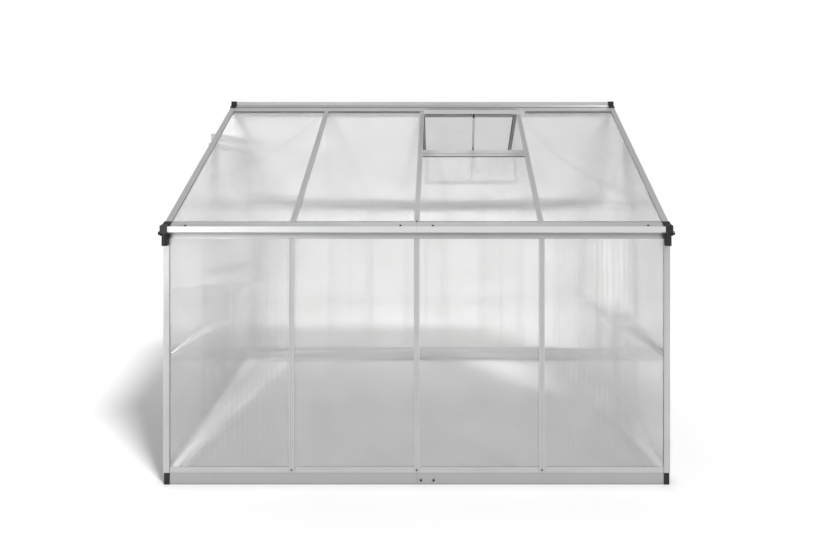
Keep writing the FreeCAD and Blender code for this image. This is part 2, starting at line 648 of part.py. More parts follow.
def build_ridge():
    halves = [lengthwise(plane, ridge_half_section(), 0, HOUSE_LENGTH) for plane in (FRONT, REAR)]
    web_top = under_apex(SEAT_MIDDLE)
    web = lengthwise(FRONT, [strip([web_top, (HALF_WIDTH, web_top[1] - RIDGE_WEB_DEPTH)])], 0, HOUSE_LENGTH)
    beam = joined([*halves, web])
    side, height = below_roof(APEX - RIDGE_LEG_REACH * 1.5, -CLEAR / 2)
    floor = height - RIDGE_LEG_REACH
    under = [
        (side, height),
        under_apex(-CLEAR / 2),
        (HOUSE_WIDTH - side, height),
        (HOUSE_WIDTH - side, floor),
        (side, floor),
    ]
    for start, end in ((-1, GABLE_DEPTH), (HOUSE_LENGTH - GABLE_DEPTH, HOUSE_LENGTH + 1)):
        beam = beam.cut(lengthwise(FRONT, [under], start, end))
    bead = rod(hinge_point(VENT_START + 1), EAST, HINGE_BEAD, VENT_END - VENT_START - 2)
    neck_path = [(HINGE_DEPTH, APEX - VENT_HINGE_BELOW_APEX), (FACE / 2, APEX - RIDGE_WING_REACH + 2)]
    neck = lengthwise(FRONT_ROOF, [strip(neck_path, WALL)], VENT_START + 1, VENT_END - 1)
    save("ridge_beam", [joined([beam, neck, bead])])

    side = HALF_WIDTH - 10.8
    shoulder_depth = RIDGE_CAP_DEPTH - WALL - 1.0
    shoulder = EAVE_HEIGHT + side * math.tan(SLOPE) - shoulder_depth / math.cos(SLOPE)
    foot = below_roof(APEX - RIDGE_CAP_REACH - 3, shoulder_depth)
    half = [foot, (side, shoulder), (side, RIDGE_TOP + 2)]
    path = half + [(HOUSE_WIDTH - d, z) for d, z in reversed(half)]
    caps = []
    for plane in (FRONT, FRONT_FROM_RIGHT):
        sleeve = lengthwise(plane, [strip(path)], -END_PLATE, END_CAP_LENGTH)
        bottom = [(HOUSE_WIDTH - foot[0], foot[1] - 12), (foot[0], foot[1] - 12)]
        side_plate = lengthwise(plane, [path + bottom], -END_PLATE, -0.1)
        caps.append(joined([sleeve, side_plate]))
    save("ridge_end_caps", caps)


# ------------------------------------------------------------------ roof vent
CROSS_BAR_GROOVE = CROSS_BAR_TOP + 30.0  # upper end of the groove for the short sheet below the vent
VENT_START = CORNER_WIDTH / 2 + BAY_PITCH * VENT_BAY + VENT_SIDE_GAP
VENT_END = CORNER_WIDTH / 2 + BAY_PITCH * (VENT_BAY + 1) - VENT_SIDE_GAP
VENT_MIDDLE = (VENT_START + VENT_END) / 2
STAY_WIDTH = 12.0
STAY_SHEET = 1.5
STAY_FRONT = 5.0  # the stay's face beside its centre line, on the downhill side
STAY_BACK = 4.0
PIN_RADIUS = 2.0
PIN_PLAY = 0.05
PEG_GAP = 2.0  # between the peg's tip and the stay at every opening
PEG_RADIUS = 2.5
VENT_AXIS = Vector(-1, 0, 0)  # a positive turn opens the sash


def hinge_point(along):
    """Point of the vent's hinge line."""
    return at(FRONT_ROOF, along, APEX - VENT_HINGE_BELOW_APEX, HINGE_DEPTH)


def pivot_point(along):
    """Point of the stay's pivot line with the vent closed."""
    return at(FRONT_ROOF, along, APEX - STAY_PIVOT_BELOW_APEX, STAY_PIVOT_DEPTH)


def opened(shape):
    """A piece of the closed sash, turned to where the sash stands."""
    turned = shape.copy()
    turned.rotate(hinge_point(0), VENT_AXIS, VENT_REST_ANGLE)
    return turned


def build_cross_bar():
    start = CORNER_WIDTH / 2 + BAY_PITCH * VENT_BAY + BAR_FACE / 2 + CLEAR
    end = start + BAY_PITCH - BAR_FACE - 2 * CLEAR
    top, foot = APEX - CROSS_BAR_TOP - FACE / 2, APEX - CROSS_BAR_FOOT
    groove = APEX - CROSS_BAR_GROOVE + WALL / 2
    outlines = [
        strip([(BAR_DEPTH, top), (FACE / 2, top), (FACE / 2, foot)], FACE),
        strip([(FACE / 2, groove), (SEAT_MIDDLE, groove), (SEAT_MIDDLE, foot + 5)]),
        rectangle(-1.2, FACE / 2, top - 38, top - 35),
    ]
    save("vent_cross_bar", [lengthwise(FRONT_ROOF, outlines, start, end)])
    web_face = APEX - CROSS_BAR_TOP
    tip = APEX - STAY_PIVOT_BELOW_APEX - STAY_FRONT - PEG_GAP
    peg = rod(at(FRONT_ROOF, VENT_MIDDLE, tip, STAY_PIVOT_DEPTH), -FRONT_ROOF.up, PEG_RADIUS, tip - web_face)
    flange = block(
        FRONT_ROOF,
        (VENT_MIDDLE - 12, VENT_MIDDLE + 12),
        (web_face, web_face + 2),
        (STAY_PIVOT_DEPTH - 8, STAY_PIVOT_DEPTH + 5),
    )
    save("stay_peg", [joined([peg, flange])])


def build_sash():
    foot, head = APEX - VENT_SASH_FOOT, APEX - VENT_HINGE_BELOW_APEX - HINGE_BEAD - 4.0
    rail = edge_channel(SASH_RAIL, SASH_TOP, SASH_UNDERSIDE, SASH_RAIL * 0.7)
    span = (VENT_START, VENT_END)
    up_rail = [[(d, foot + a) for a, d in outline] for outline in rail]
    drip = rectangle(SASH_TOP - 4, SASH_UNDERSIDE + 1, foot, foot + WALL)
    bottom = lengthwise(FRONT_ROOF, up_rail + [drip], *span)
    save("sash_bottom_rail", [opened(bottom)])
    down_rail = [[(d, head - a) for a, d in outline] for outline in rail]
    top = lengthwise(FRONT_ROOF, down_rail, *span)
    socket_outer = HINGE_BEAD + HINGE_PLAY + WALL
    socket = rod(hinge_point(VENT_START), EAST, socket_outer, VENT_END - VENT_START)
    link = block(
        FRONT_ROOF,
        span,
        (head - WALL, APEX - VENT_HINGE_BELOW_APEX),
        (HINGE_DEPTH - socket_outer, HINGE_DEPTH - HINGE_BEAD),
    )
    core = rod(hinge_point(VENT_START), EAST, HINGE_BEAD + HINGE_PLAY, VENT_END - VENT_START)
    centre = (HINGE_DEPTH, APEX - VENT_HINGE_BELOW_APEX)
    mouth = [centre]
    for angle in SOCKET_MOUTH:
        turn = math.radians(angle)
        mouth.append((centre[0] + 20.0 * math.sin(turn), centre[1] + 20.0 * math.cos(turn)))
    opening = lengthwise(FRONT_ROOF, [mouth], VENT_START - 1, VENT_END + 1)
    top = joined([top, socket, link]).cut(core).cut(opening)
    save("sash_top_rail", [opened(top.Solids[0])])
    sides = []
    low, high = foot + SASH_RAIL + 0.1, head - SASH_RAIL - 0.1
    for edge, outlines in ((VENT_START, rail), (VENT_END, mirrored(rail))):
        sides.append(opened(upright(FRONT_ROOF, outlines, edge, low, high)))
    save("sash_side_rails", sides)
    margin = WALL + EDGE_GAP
    outline = rectangle(VENT_START + margin, VENT_END - margin, foot + margin, head - margin)
    save("sash_panel", [opened(sheet(FRONT_ROOF, outline, SASH_TOP + WALL + PANEL_GAP, PANEL))])


def build_stay():
    pivot = pivot_point(VENT_MIDDLE)
    pivot_up = APEX - STAY_PIVOT_BELOW_APEX
    tongue = (STAY_WIDTH - 2 * STAY_SHEET) / 2 - 0.4
    boss = STAY_FRONT - STAY_SHEET - 0.4
    rail_legs = APEX - VENT_SASH_FOOT + SASH_RAIL * 0.7 + 0.1
    plate = block(
        FRONT_ROOF,
        (VENT_MIDDLE - 18, VENT_MIDDLE + 18),
        (rail_legs, rail_legs + 2.5),
        (SASH_TOP + 9.0, SASH_UNDERSIDE),
    )
    arm = block(
        FRONT_ROOF,
        (VENT_MIDDLE - tongue, VENT_MIDDLE + tongue),
        (rail_legs + 1, pivot_up + boss),
        (SASH_TOP + 9.0, SASH_UNDERSIDE - 2),
    )
    leg = block(
        FRONT_ROOF,
        (VENT_MIDDLE - tongue, VENT_MIDDLE + tongue),
        (pivot_up - boss, pivot_up + boss),
        (SASH_TOP + 9.0, STAY_PIVOT_DEPTH),
    )
    end = rod(pivot - EAST * tongue, EAST, boss, 2 * tongue)
    hole = rod(pivot - EAST * STAY_WIDTH, EAST, PIN_RADIUS, 2 * STAY_WIDTH)
    save("stay_bracket", [opened(joined([plate, arm, leg, end]).cut(hole))])

    pin_half = STAY_WIDTH / 2 + 1.5
    pin = rod(pivot - EAST * pin_half, EAST, PIN_RADIUS, 2 * pin_half)
    heads = [rod(pivot + EAST * x, EAST, PIN_RADIUS * 1.8, 1.2) for x in (pin_half - 0.9, -pin_half - 0.3)]
    save("stay_pivot_pin", [opened(joined([pin, *heads]))])

    # The closed stay runs square to the line from hinge to pivot. Each degree of opening turns
    # it half a degree, so its line always passes the peg, which stands where the pivot is
    # when the vent is closed.
    downhill = (pivot - hinge_point(VENT_MIDDLE)).normalize()
    frame = Plane(pivot, EAST, EAST.cross(downhill), downhill)
    half = STAY_WIDTH / 2
    ears = [
        block(frame, (-half, STAY_SHEET - half), (-6, STAY_LENGTH), (-STAY_BACK, STAY_FRONT)),
        block(frame, (half - STAY_SHEET, half), (-6, STAY_LENGTH), (-STAY_BACK, STAY_FRONT)),
        block(frame, (-half, half), (9, STAY_LENGTH), (STAY_FRONT - STAY_SHEET, STAY_FRONT)),
    ]
    stay = joined(ears)
    for index in range(5):
        hole_at = at(frame, 0, STAY_LENGTH - 20 - index * 55, 0)
        stay = stay.cut(rod(hole_at, downhill, PEG_RADIUS + 0.5, STAY_FRONT * 2))
    stay = stay.cut(rod(pivot - EAST * STAY_WIDTH, EAST, PIN_RADIUS + PIN_PLAY, 2 * STAY_WIDTH))
    stay = stay.Solids[0].copy()
    stay.rotate(pivot, VENT_AXIS, -VENT_REST_ANGLE / 2)
    save("stay_bar", [opened(stay)])


# ------------------------------------------------------------------ gables
def gable_bar(plane, line):
    """Glazing bar from the sill to the gable rafter over it."""
    pitch_roof = FRONT_ROOF if line < HALF_WIDTH else REAR_ROOF
    whole = (-CORNER_WIDTH, HOUSE_LENGTH + CORNER_WIDTH)
    over = block(pitch_roof, whole, (-APEX, APEX * 2), (-APEX_HEIGHT * 2, GABLE_DEPTH))
    return wall_bar(plane, line, [over])


def gable_panel(plane, start, end, low, high=None):
    """Sheet of a gable; without a height it ends under the roof."""
    if high is not None:
        outline = rectangle(start, end, low, high)
    else:
        outline = [(start, low), (end, low), (end, gable_height(end, PANEL_CORNER_EDGE))]
        if start < HALF_WIDTH < end:
            outline.append((HALF_WIDTH, gable_height(HALF_WIDTH, PANEL_CORNER_EDGE)))
        outline.append((start, gable_height(start, PANEL_CORNER_EDGE)))
    return sheet(plane, outline, PANEL_FRONT, PANEL)


def cross_rail(plane, start, end, height):
    """Glazing bar laid level between two uprights."""
    section = [[(d, height + a) for a, d in outline] for outline in glazing_bar()]
    return lengthwise(plane, section, start, end)


def build_gables():
    bays = [
        (CORNER_WIDTH + CLEAR, GABLE_BARS[0] - BAR_FACE / 2 - CLEAR),
        (GABLE_BARS[0] + BAR_FACE / 2 + CLEAR, GABLE_BARS[1] - BAR_FACE / 2 - CLEAR),
        (GABLE_BARS[1] + BAR_FACE / 2 + CLEAR, HOUSE_WIDTH - CORNER_WIDTH - CLEAR),
    ]
    edges = [
        (PANEL_CORNER_EDGE, GABLE_BARS[0] - PANEL_BAR_EDGE),
        (GABLE_BARS[0] + PANEL_BAR_EDGE, GABLE_BARS[1] - PANEL_BAR_EDGE),
        (GABLE_BARS[1] + PANEL_BAR_EDGE, HOUSE_WIDTH - PANEL_CORNER_EDGE),
    ]
    low = BASE_HEIGHT + WALL + CLEAR
    rail_play = BAR_WEB / 2 + EDGE_GAP / 2
    sills = []
    for name, plane in (("left", LEFT), ("right", RIGHT)):
        bars = [gable_bar(plane, line) for line in GABLE_BARS]
        save("door_posts" if name == "left" else "gable_studs", bars)
        has_door = [name == "left" and index == 1 for index in range(3)]
        rails, panels = [], []
        for index, door in enumerate(has_door):
            if door:
                panels.append(gable_panel(plane, *edges[index], DOOR_HEAD_HEIGHT + rail_play))
                continue
            rails.append(cross_rail(plane, *bays[index], MID_RAIL_HEIGHT))
            panels.append(gable_panel(plane, *edges[index], low, MID_RAIL_HEIGHT - rail_play))
            panels.append(gable_panel(plane, *edges[index], MID_RAIL_HEIGHT + rail_play))
        save("gable_mid_rails_" + name, rails)
        save("gable_panels_" + name, panels)
        if name == "left":
            spans = [(bays[0][0], GABLE_BARS[0] + 6), (GABLE_BARS[1] - 6, bays[2][1])]
            save("door_head", [cross_rail(plane, *bays[1], DOOR_HEAD_HEIGHT)])
        else:
            spans = [(bays[0][0], bays[2][1])]
        sills += [lengthwise(plane, sill_section(BASE_HEIGHT), *span) for span in spans]
    save("sills_gable", sills)


# ------------------------------------------------------------------ sliding door
TRACK_BACK = -0.2  # all depths outside the gable's plane are negative
TRACK_FOOT = DOOR_HEAD_HEIGHT + 30.0
TRACK_HEIGHT = 50.0
TRACK_REACH = 32.0
RUNNER_DEPTH = -15.0  # centre of the rail that the rollers run on
RUNNER_TOP = TRACK_FOOT + 18.0
ROLLER_RADIUS = 11.0
ROLLER_FLANGE = 13.0
ROLLER_WIDTH = 8.0
AXLE_RADIUS = 3.0
AXLE_PLAY = 0.05
DOOR_INNER = -6.0
DOOR_OUTER = DOOR_INNER - DOOR_THICKNESS
DOOR_TOP = TRACK_FOOT - 8.0
STILE = 30.0
HANGER_SHEET = 2.0
HANGER_WIDTH = 44.0
HANGER_INSET = 110.0  # roller's centre from the edge of the leaf
DOOR_START = HALF_WIDTH - DOOR_WIDTH / 2
DOOR_END = HALF_WIDTH + DOOR_WIDTH / 2
ROLLER_LINES = (DOOR_START + HANGER_INSET, DOOR_END - HANGER_INSET)
ROLLER_HEIGHT = RUNNER_TOP + ROLLER_RADIUS + 0.05
TRACK_END = HOUSE_WIDTH - 14.0
UPPER_TRACK = (DOOR_START + HANGER_INSET / 2, TRACK_END)  # starts behind the front rafter's face
LOWER_TRACK = (DOOR_START - 10.0, TRACK_END)
GUIDE_CHANNEL = (-2.0, -22.0)  # inner and outer side of the bottom channel
GUIDE_FLOOR = 45.0
STRUT_WIDTH = 20.0  # the strut under the track's free end
STRUT_RIB = 14.0


def build_tracks():
    back, reach = TRACK_BACK - FACE / 2, -TRACK_REACH + WALL / 2
    top, foot = TRACK_FOOT + TRACK_HEIGHT, TRACK_FOOT + 10.0
    shelf_end = RUNNER_DEPTH - 8.0
    outlines = [
        strip([(back, TRACK_FOOT), (back, top - FACE / 2), (reach, top - FACE / 2), (reach, top - 30)], FACE),
        strip([(back, foot), (shelf_end, foot)], FACE),
        strip([(RUNNER_DEPTH, foot), (RUNNER_DEPTH, RUNNER_TOP)], FACE),
    ]
    save("door_track", [lengthwise(LEFT, outlines, *UPPER_TRACK)])
    inner, outer = GUIDE_CHANNEL
    plate_back = inner + FACE / 2
    lower = strip([(plate_back, 20.0), (plate_back, DOOR_BOTTOM - 4)], WALL)
    channel = strip([(plate_back, GUIDE_FLOOR), (outer, GUIDE_FLOOR), (outer, GUIDE_FLOOR + 14)], WALL)
    save("door_bottom_track", [lengthwise(LEFT, [lower, channel], *LOWER_TRACK)])
    strut_side = HOUSE_WIDTH - 60.0 - STRUT_WIDTH
    strut_top = TRACK_FOOT - CLEAR
    face = block(
        LEFT,
        (strut_side, strut_side + STRUT_WIDTH),
        (gable_height(strut_side, CORNER_WIDTH - 4), strut_top),
        (TRACK_BACK - FACE, TRACK_BACK),
    )
    rib = block(
        LEFT,
        (strut_side, strut_side + FACE),
        (gable_height(strut_side, 0) + CLEAR, strut_top),
        (TRACK_BACK - FACE, STRUT_RIB),
    )
    save("track_end_strut", [joined([face, rib])])


def build_door():
    stile = edge_channel(STILE, DOOR_OUTER, DOOR_INNER, STILE * 0.8)
    stiles = [
        upright(LEFT, stile, DOOR_START, DOOR_BOTTOM, DOOR_TOP),
        upright(LEFT, mirrored(stile), DOOR_END, DOOR_BOTTOM, DOOR_TOP),
    ]
    save("door_stiles", stiles)
    between = (DOOR_START + STILE + 0.1, DOOR_END - STILE - 0.1)
    top_section = [[(d, DOOR_TOP - a) for a, d in outline] for outline in stile]
    bottom_section = [[(d, DOOR_BOTTOM + a) for a, d in outline] for outline in stile]
    save("door_top_rail", [lengthwise(LEFT, top_section, *between)])
    save("door_bottom_rail", [lengthwise(LEFT, bottom_section, *between)])
    seat = DOOR_OUTER + WALL + PANEL + 2 * PANEL_GAP
    middle = [
        rectangle(DOOR_OUTER, DOOR_OUTER + WALL, DOOR_MID_HEIGHT - STILE / 2, DOOR_MID_HEIGHT + STILE / 2),
        rectangle(seat, seat + WALL, DOOR_MID_HEIGHT - STILE / 2, DOOR_MID_HEIGHT + STILE / 2),
        rectangle(DOOR_OUTER, DOOR_INNER, DOOR_MID_HEIGHT - WALL / 2, DOOR_MID_HEIGHT + WALL / 2),
    ]
    save("door_mid_rail", [lengthwise(LEFT, middle, *between)])
    margin = WALL + EDGE_GAP
    front = DOOR_OUTER + WALL + PANEL_GAP
    edges = (DOOR_START + margin, DOOR_END - margin)
    panels = [
        sheet(LEFT, rectangle(*edges, DOOR_BOTTOM + margin, DOOR_MID_HEIGHT - margin), front, PANEL),
        sheet(LEFT, rectangle(*edges, DOOR_MID_HEIGHT + margin, DOOR_TOP - margin), front, PANEL),
    ]
    save("door_panels", panels)

    hangers, axles = [], []
    hanger_front = DOOR_OUTER - HANGER_SHEET
    for line in ROLLER_LINES:
        plate = block(
            LEFT,
            (line - HANGER_WIDTH / 2, line + HANGER_WIDTH / 2),
            (DOOR_TOP - STILE, ROLLER_HEIGHT + 9),
            (hanger_front, DOOR_OUTER),
        )
        centre = at(LEFT, line, ROLLER_HEIGHT, hanger_front)
        hangers.append(plate.cut(rod(centre - EAST, EAST, AXLE_RADIUS, 10)))
        head = rod(centre - EAST * 1.2, EAST, AXLE_RADIUS * 1.6, 1.2)
        collar_end = RUNNER_DEPTH - ROLLER_WIDTH / 2 - 0.4
        collar_start = at(LEFT, line, ROLLER_HEIGHT, DOOR_OUTER)
        collar = rod(collar_start, EAST, AXLE_RADIUS * 1.5, collar_end - DOOR_OUTER)
        shaft = rod(centre, EAST, AXLE_RADIUS, RUNNER_DEPTH + ROLLER_WIDTH / 2 + 1 - hanger_front)
        axles.append(joined([head, collar, shaft]))
    save("door_hangers", hangers)
    save("door_axles", axles)
    for name, line in zip(("front", "rear"), ROLLER_LINES):
        start = at(LEFT, line, ROLLER_HEIGHT, RUNNER_DEPTH - ROLLER_WIDTH / 2)
        hub = rod(start, EAST, ROLLER_RADIUS, ROLLER_WIDTH)
        cheeks = [rod(start + EAST * x, EAST, ROLLER_FLANGE, 2.0) for x in (0, ROLLER_WIDTH - 2.0)]
        bore = rod(start - EAST, EAST, AXLE_RADIUS + AXLE_PLAY, ROLLER_WIDTH + 2)
        save("door_roller_" + name, [joined([hub, *cheeks]).cut(bore)])

    guides = []
    shoe_inner, shoe_outer = GUIDE_CHANNEL[0] - 6.0, GUIDE_CHANNEL[1] + 4.0
    for line in (DOOR_START + STILE * 2, DOOR_END - STILE * 2):
        foot = block(LEFT, (line - 20, line + 20), (GUIDE_FLOOR + 4, DOOR_BOTTOM), (shoe_outer, shoe_inner))
        guides.append(foot)
    save("door_guides", guides)
    grip_line = DOOR_START + STILE / 2
    grip_height = DOOR_MID_HEIGHT + 120.0
    plate = block(
        LEFT,
        (grip_line - 11, grip_line + 11),
        (grip_height - 75, grip_height + 75),
        (DOOR_OUTER - 3, DOOR_OUTER),
    )
    lip = block(
        LEFT,
        (grip_line + 6, grip_line + 11),
        (grip_height - 70, grip_height + 70),
        (DOOR_OUTER - 12, DOOR_OUTER - 2),
    )
    save("door_handle", [joined([plate, lip])])


# ------------------------------------------------------------------ all sub-parts
os.makedirs("parts", exist_ok=True)
splice_plates = build_base()
build_base_bolts()
build_side_walls()
build_corner_posts()
splice_plates += build_gutter_fittings()
save("splice_plates", splice_plates)
build_small_bolts()
build_roof()
build_ridge()
build_cross_bar()
build_sash()
build_stay()
build_gables()
build_tracks()
build_door()
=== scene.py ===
import math

import bmesh
import bpy
import numpy as np
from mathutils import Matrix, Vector


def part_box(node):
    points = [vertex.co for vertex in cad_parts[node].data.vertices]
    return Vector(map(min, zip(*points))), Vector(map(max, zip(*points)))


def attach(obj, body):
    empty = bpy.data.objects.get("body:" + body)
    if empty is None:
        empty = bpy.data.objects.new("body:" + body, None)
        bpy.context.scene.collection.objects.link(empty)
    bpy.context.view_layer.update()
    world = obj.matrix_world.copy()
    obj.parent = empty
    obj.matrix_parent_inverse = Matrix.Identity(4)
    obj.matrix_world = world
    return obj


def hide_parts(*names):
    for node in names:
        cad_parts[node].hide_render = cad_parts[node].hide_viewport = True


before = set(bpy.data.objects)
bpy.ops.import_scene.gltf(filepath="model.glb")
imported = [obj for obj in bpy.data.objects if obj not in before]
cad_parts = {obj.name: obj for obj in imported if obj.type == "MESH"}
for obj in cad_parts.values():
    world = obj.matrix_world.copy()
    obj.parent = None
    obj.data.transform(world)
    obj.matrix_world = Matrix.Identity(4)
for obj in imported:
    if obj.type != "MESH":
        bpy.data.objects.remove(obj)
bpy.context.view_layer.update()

# ------------------------------------------------------------------------------ studio
# A plain pale floor in a white room, with a broad soft key light high on the right, whose
# shadow falls to the left. The camera stands at eye height, square to the house's long side.
FRONT_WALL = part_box("studs_front")[0].y
EYE_DISTANCE = 2.85
EYE_HEIGHT = 1.524
EYE_ASIDE = 0.112
LENS = 25.6
SHIFT = (-0.0282, -0.1312)
FLOOR_HALF = 45.0
ROOM_SIDES = (0.74, 0.27)
ROOM_ASIDE = 0.55
ROOM_OVERHEAD = 1.8
OVERHEAD_FOCUS = 8.0
BACKDROP_SIDES = (1.42, 0.14)
BACKDROP_RISE = 1.0
BACKDROP_RISE_FROM = 0.15
BACKDROP_RISE_TO = 0.4
KEY_FROM = Vector((0.60, -0.74, 1.0))
KEY_STRENGTH = 2.85
KEY_SOFTNESS = 11.0
CARDS = (
    ("low_card", Vector((-3.5, -5.5, 0.8)), (2.5, 1.6), 20.0),
    ("high_card", Vector((0.0, -7.0, 3.2)), (8.0, 2.2), 50.0),
)
CARD_AIM = Vector((0.0, 0.0, 1.0))
WHITE = (1.0, 1.0, 1.0, 1.0)

scene = bpy.context.scene
scene.view_settings.view_transform = "Standard"
scene.cycles.max_bounces = 24
scene.cycles.transmission_bounces = 20
scene.cycles.glossy_bounces = 6
scene.cycles.diffuse_bounces = 4
scene.cycles.transparent_max_bounces = 64

camera_data = bpy.data.cameras.new("camera")
camera_data.sensor_width = 36.0
camera_data.lens = LENS
camera_data.shift_x, camera_data.shift_y = SHIFT
camera_data.clip_end = 400.0
camera = bpy.data.objects.new("camera", camera_data)
camera.location = (EYE_ASIDE, FRONT_WALL - EYE_DISTANCE, EYE_HEIGHT)
camera.rotation_euler = (math.radians(90.0), 0.0, 0.0)
scene.collection.objects.link(camera)
scene.camera = camera


def add_node(tree, kind, **settings):
    """A node of that kind. A setting named as one of its inputs, in lower case with underscores,
    or as n and the input's number, sets or links that input; any other sets the node itself."""
    node = tree.nodes.new("ShaderNode" + kind)
    sockets = {socket.name.lower().replace(" ", "_"): socket for socket in reversed(node.inputs)}
    sockets.update({f"n{index}": socket for index, socket in enumerate(node.inputs)})
    for key, value in settings.items():
        if key not in sockets:
            setattr(node, key, value)
        elif isinstance(value, bpy.types.NodeSocket):
            tree.links.new(value, sockets[key])
        else:
            sockets[key].default_value = value
    return node


def math_node(tree, operation, first, second=0.0, clamp=False):
    """The output of one arithmetic step on two numbers or sockets."""
    node = add_node(tree, "Math", operation=operation, use_clamp=clamp, n0=first, n1=second)
    return node.outputs[0]


def ramp(tree, value, start, end, low=0.0, high=1.0):
    """A value that runs from low to high while the given one runs from start to end."""
    node = add_node(
        tree, "MapRange", value=value, from_min=start, from_max=end, to_min=low, to_max=high
    )
    return node.outputs[0]


def noise(tree, place, per_metre, detail):
    """Cloudy noise with that many lumps to the metre."""
    return add_node(tree, "TexNoise", vector=place, scale=per_metre, detail=detail).outputs["Fac"]


def colour_mix(tree, share, first, second):
    """The colour that lies a share of the way from the first to the second."""
    node = add_node(tree, "MixRGB", fac=share, color1=first, color2=second)
    return node.outputs[0]


world = bpy.data.worlds.new("white_room")
scene.world = world
world.use_nodes = True
room = world.node_tree
room.nodes.clear()
world.cycles.sampling_method = "NONE"
direction = add_node(room, "TexCoord").outputs["Generated"]
sideways, _, upward = add_node(room, "SeparateXYZ", vector=direction).outputs
path = add_node(room, "LightPath")


def from_side_to_side(left, right):
    """A value that runs from the room's left wall to its right wall."""
    return ramp(room, sideways, -1.0, 1.0, left, right)


def room_light(strength):
    """White light of that strength from every direction."""
    return add_node(room, "Background", color=WHITE, strength=strength).outputs[0]


# The room lights the house more from its left and from overhead. It is seen as plain white, and
# through the sheets as a backdrop that is brighter on the left and higher up.
overhead = math_node(room, "POWER", math_node(room, "MAXIMUM", upward, 0.0), OVERHEAD_FOCUS)
height_share = math_node(room, "ADD", math_node(room, "MULTIPLY", overhead, ROOM_OVERHEAD), ROOM_ASIDE)
lighting = room_light(math_node(room, "MULTIPLY", from_side_to_side(*ROOM_SIDES), height_share))
brighter_up = ramp(room, upward, BACKDROP_RISE_FROM, BACKDROP_RISE_TO, 1.0, 1.0 + BACKDROP_RISE)
backdrop = room_light(math_node(room, "MULTIPLY", from_side_to_side(*BACKDROP_SIDES), brighter_up))
unseen = add_node(room, "MixShader", n0=path.outputs["Is Transmission Ray"], n1=lighting, n2=backdrop)
white = room_light(1.0)
seen = add_node(room, "MixShader", n0=path.outputs["Is Camera Ray"], n1=unseen.outputs[0], n2=white)
add_node(room, "OutputWorld", surface=seen.outputs[0])

key_light = bpy.data.lights.new("key_light", "SUN")
key_light.energy = KEY_STRENGTH
key_light.angle = math.radians(KEY_SOFTNESS)
key_object = bpy.data.objects.new("key_light", key_light)
key_object.rotation_euler = KEY_FROM.to_track_quat("Z", "Y").to_euler()
key_object.visible_transmission = False
scene.collection.objects.link(key_object)


def long_lamp(name, place, size, power, aim):
    """A rectangular lamp, aimed at a point, that is itself seen neither directly nor through a
    sheet."""
    lamp = bpy.data.lights.new(name, "AREA")
    lamp.shape = "RECTANGLE"
    lamp.size, lamp.size_y = size
    lamp.energy = power
    lamp_object = bpy.data.objects.new(name, lamp)
    lamp_object.location = place
    lamp_object.rotation_euler = (place - aim).to_track_quat("Z", "Y").to_euler()
    lamp_object.visible_camera = False
    lamp_object.visible_transmission = False
    scene.collection.objects.link(lamp_object)
    return lamp_object


# The cards show only as reflections on the aluminium and the sheets.
for name, place, size, power in CARDS:
    long_lamp(name, place, size, power, CARD_AIM).visible_diffuse = False


def new_material(name):
    """A material with one Principled shader, returned as (material, tree, shader, object
    coordinates)."""
    material = bpy.data.materials.new(name)
    material.use_nodes = True
    tree = material.node_tree
    tree.nodes.clear()
    shader = add_node(tree, "BsdfPrincipled")
    add_node(tree, "OutputMaterial", surface=shader.outputs[0])
    coordinates = add_node(tree, "TexCoord").outputs["Object"]
    return material, tree, shader, coordinates


def use_group(tree, group, **values):
    """The named group placed in a material, with its inputs set or linked."""
    node = tree.nodes.new("ShaderNodeGroup")
    node.node_tree = group
    for key, value in values.items():
        socket = node.inputs[key.replace("_", " ").capitalize()]
        if isinstance(value, bpy.types.NodeSocket):
            tree.links.new(value, socket)
        else:
            socket.default_value = value
    return node


def start_group(name, entries, exits):
    """A new node group with those named inputs and outputs, and the nodes they come in and leave
    by."""
    group = bpy.data.node_groups.new(name, "ShaderNodeTree")
    for in_out, sockets in (("INPUT", entries), ("OUTPUT", exits)):
        for socket_name, kind in sockets.items():
            group.interface.new_socket(socket_name, in_out=in_out, socket_type="NodeSocket" + kind)
    return group, group.nodes.new("NodeGroupInput").outputs, group.nodes.new("NodeGroupOutput").inputs


def build_painted_corner_shade():
    """Group: a mask for painted shade, one deep in an inside corner and falling to nought
    at the given reach from it."""
    group, entry, leave = start_group("corner_grime", {"Reach": "Float"}, {"Mask": "Float"})
    openness = add_node(group, "AmbientOcclusion", samples=6, distance=entry["Reach"]).outputs["AO"]
    group.links.new(ramp(group, openness, *CORNER_OPENNESS), leave["Mask"])
    return group


CORNER_OPENNESS = (0.9, 0.45)
PAINTED_CORNER_SHADE = build_painted_corner_shade()
FLOOR_REACH = 0.09
FLOOR_SHADE_SHARE = 0.40
FLOOR_SHADE = (0.3, 0.3, 0.3, 1.0)
PAPER_DARK = (0.93, 0.93, 0.93, 1.0)
PAPER_PALE = (0.97, 0.97, 0.97, 1.0)
PAPER_CLOUDS_PER_METRE = 0.8
PAPER_ROUGHNESS = 0.9
PAPER_SHEEN = 0.1


def paper_floor():
    """Matt pale paper with a faint cloudiness, and painted shade that darkens it close to anything
    standing on it.
    """
    material, tree, shader, coordinates = new_material("pale_floor")
    cloud = noise(tree, coordinates, PAPER_CLOUDS_PER_METRE, 3.0)
    colour = colour_mix(tree, cloud, PAPER_DARK, PAPER_PALE)
    # Painted contact shadow around whatever stands on the floor.
    near = use_group(tree, PAINTED_CORNER_SHADE, reach=FLOOR_REACH).outputs["Mask"]
    shaded = colour_mix(tree, math_node(tree, "MULTIPLY", near, FLOOR_SHADE_SHARE), colour, FLOOR_SHADE)
    tree.links.new(shaded, shader.inputs["Base Color"])
    shader.inputs["Roughness"].default_value = PAPER_ROUGHNESS
    shader.inputs["Specular IOR Level"].default_value = PAPER_SHEEN
    return material


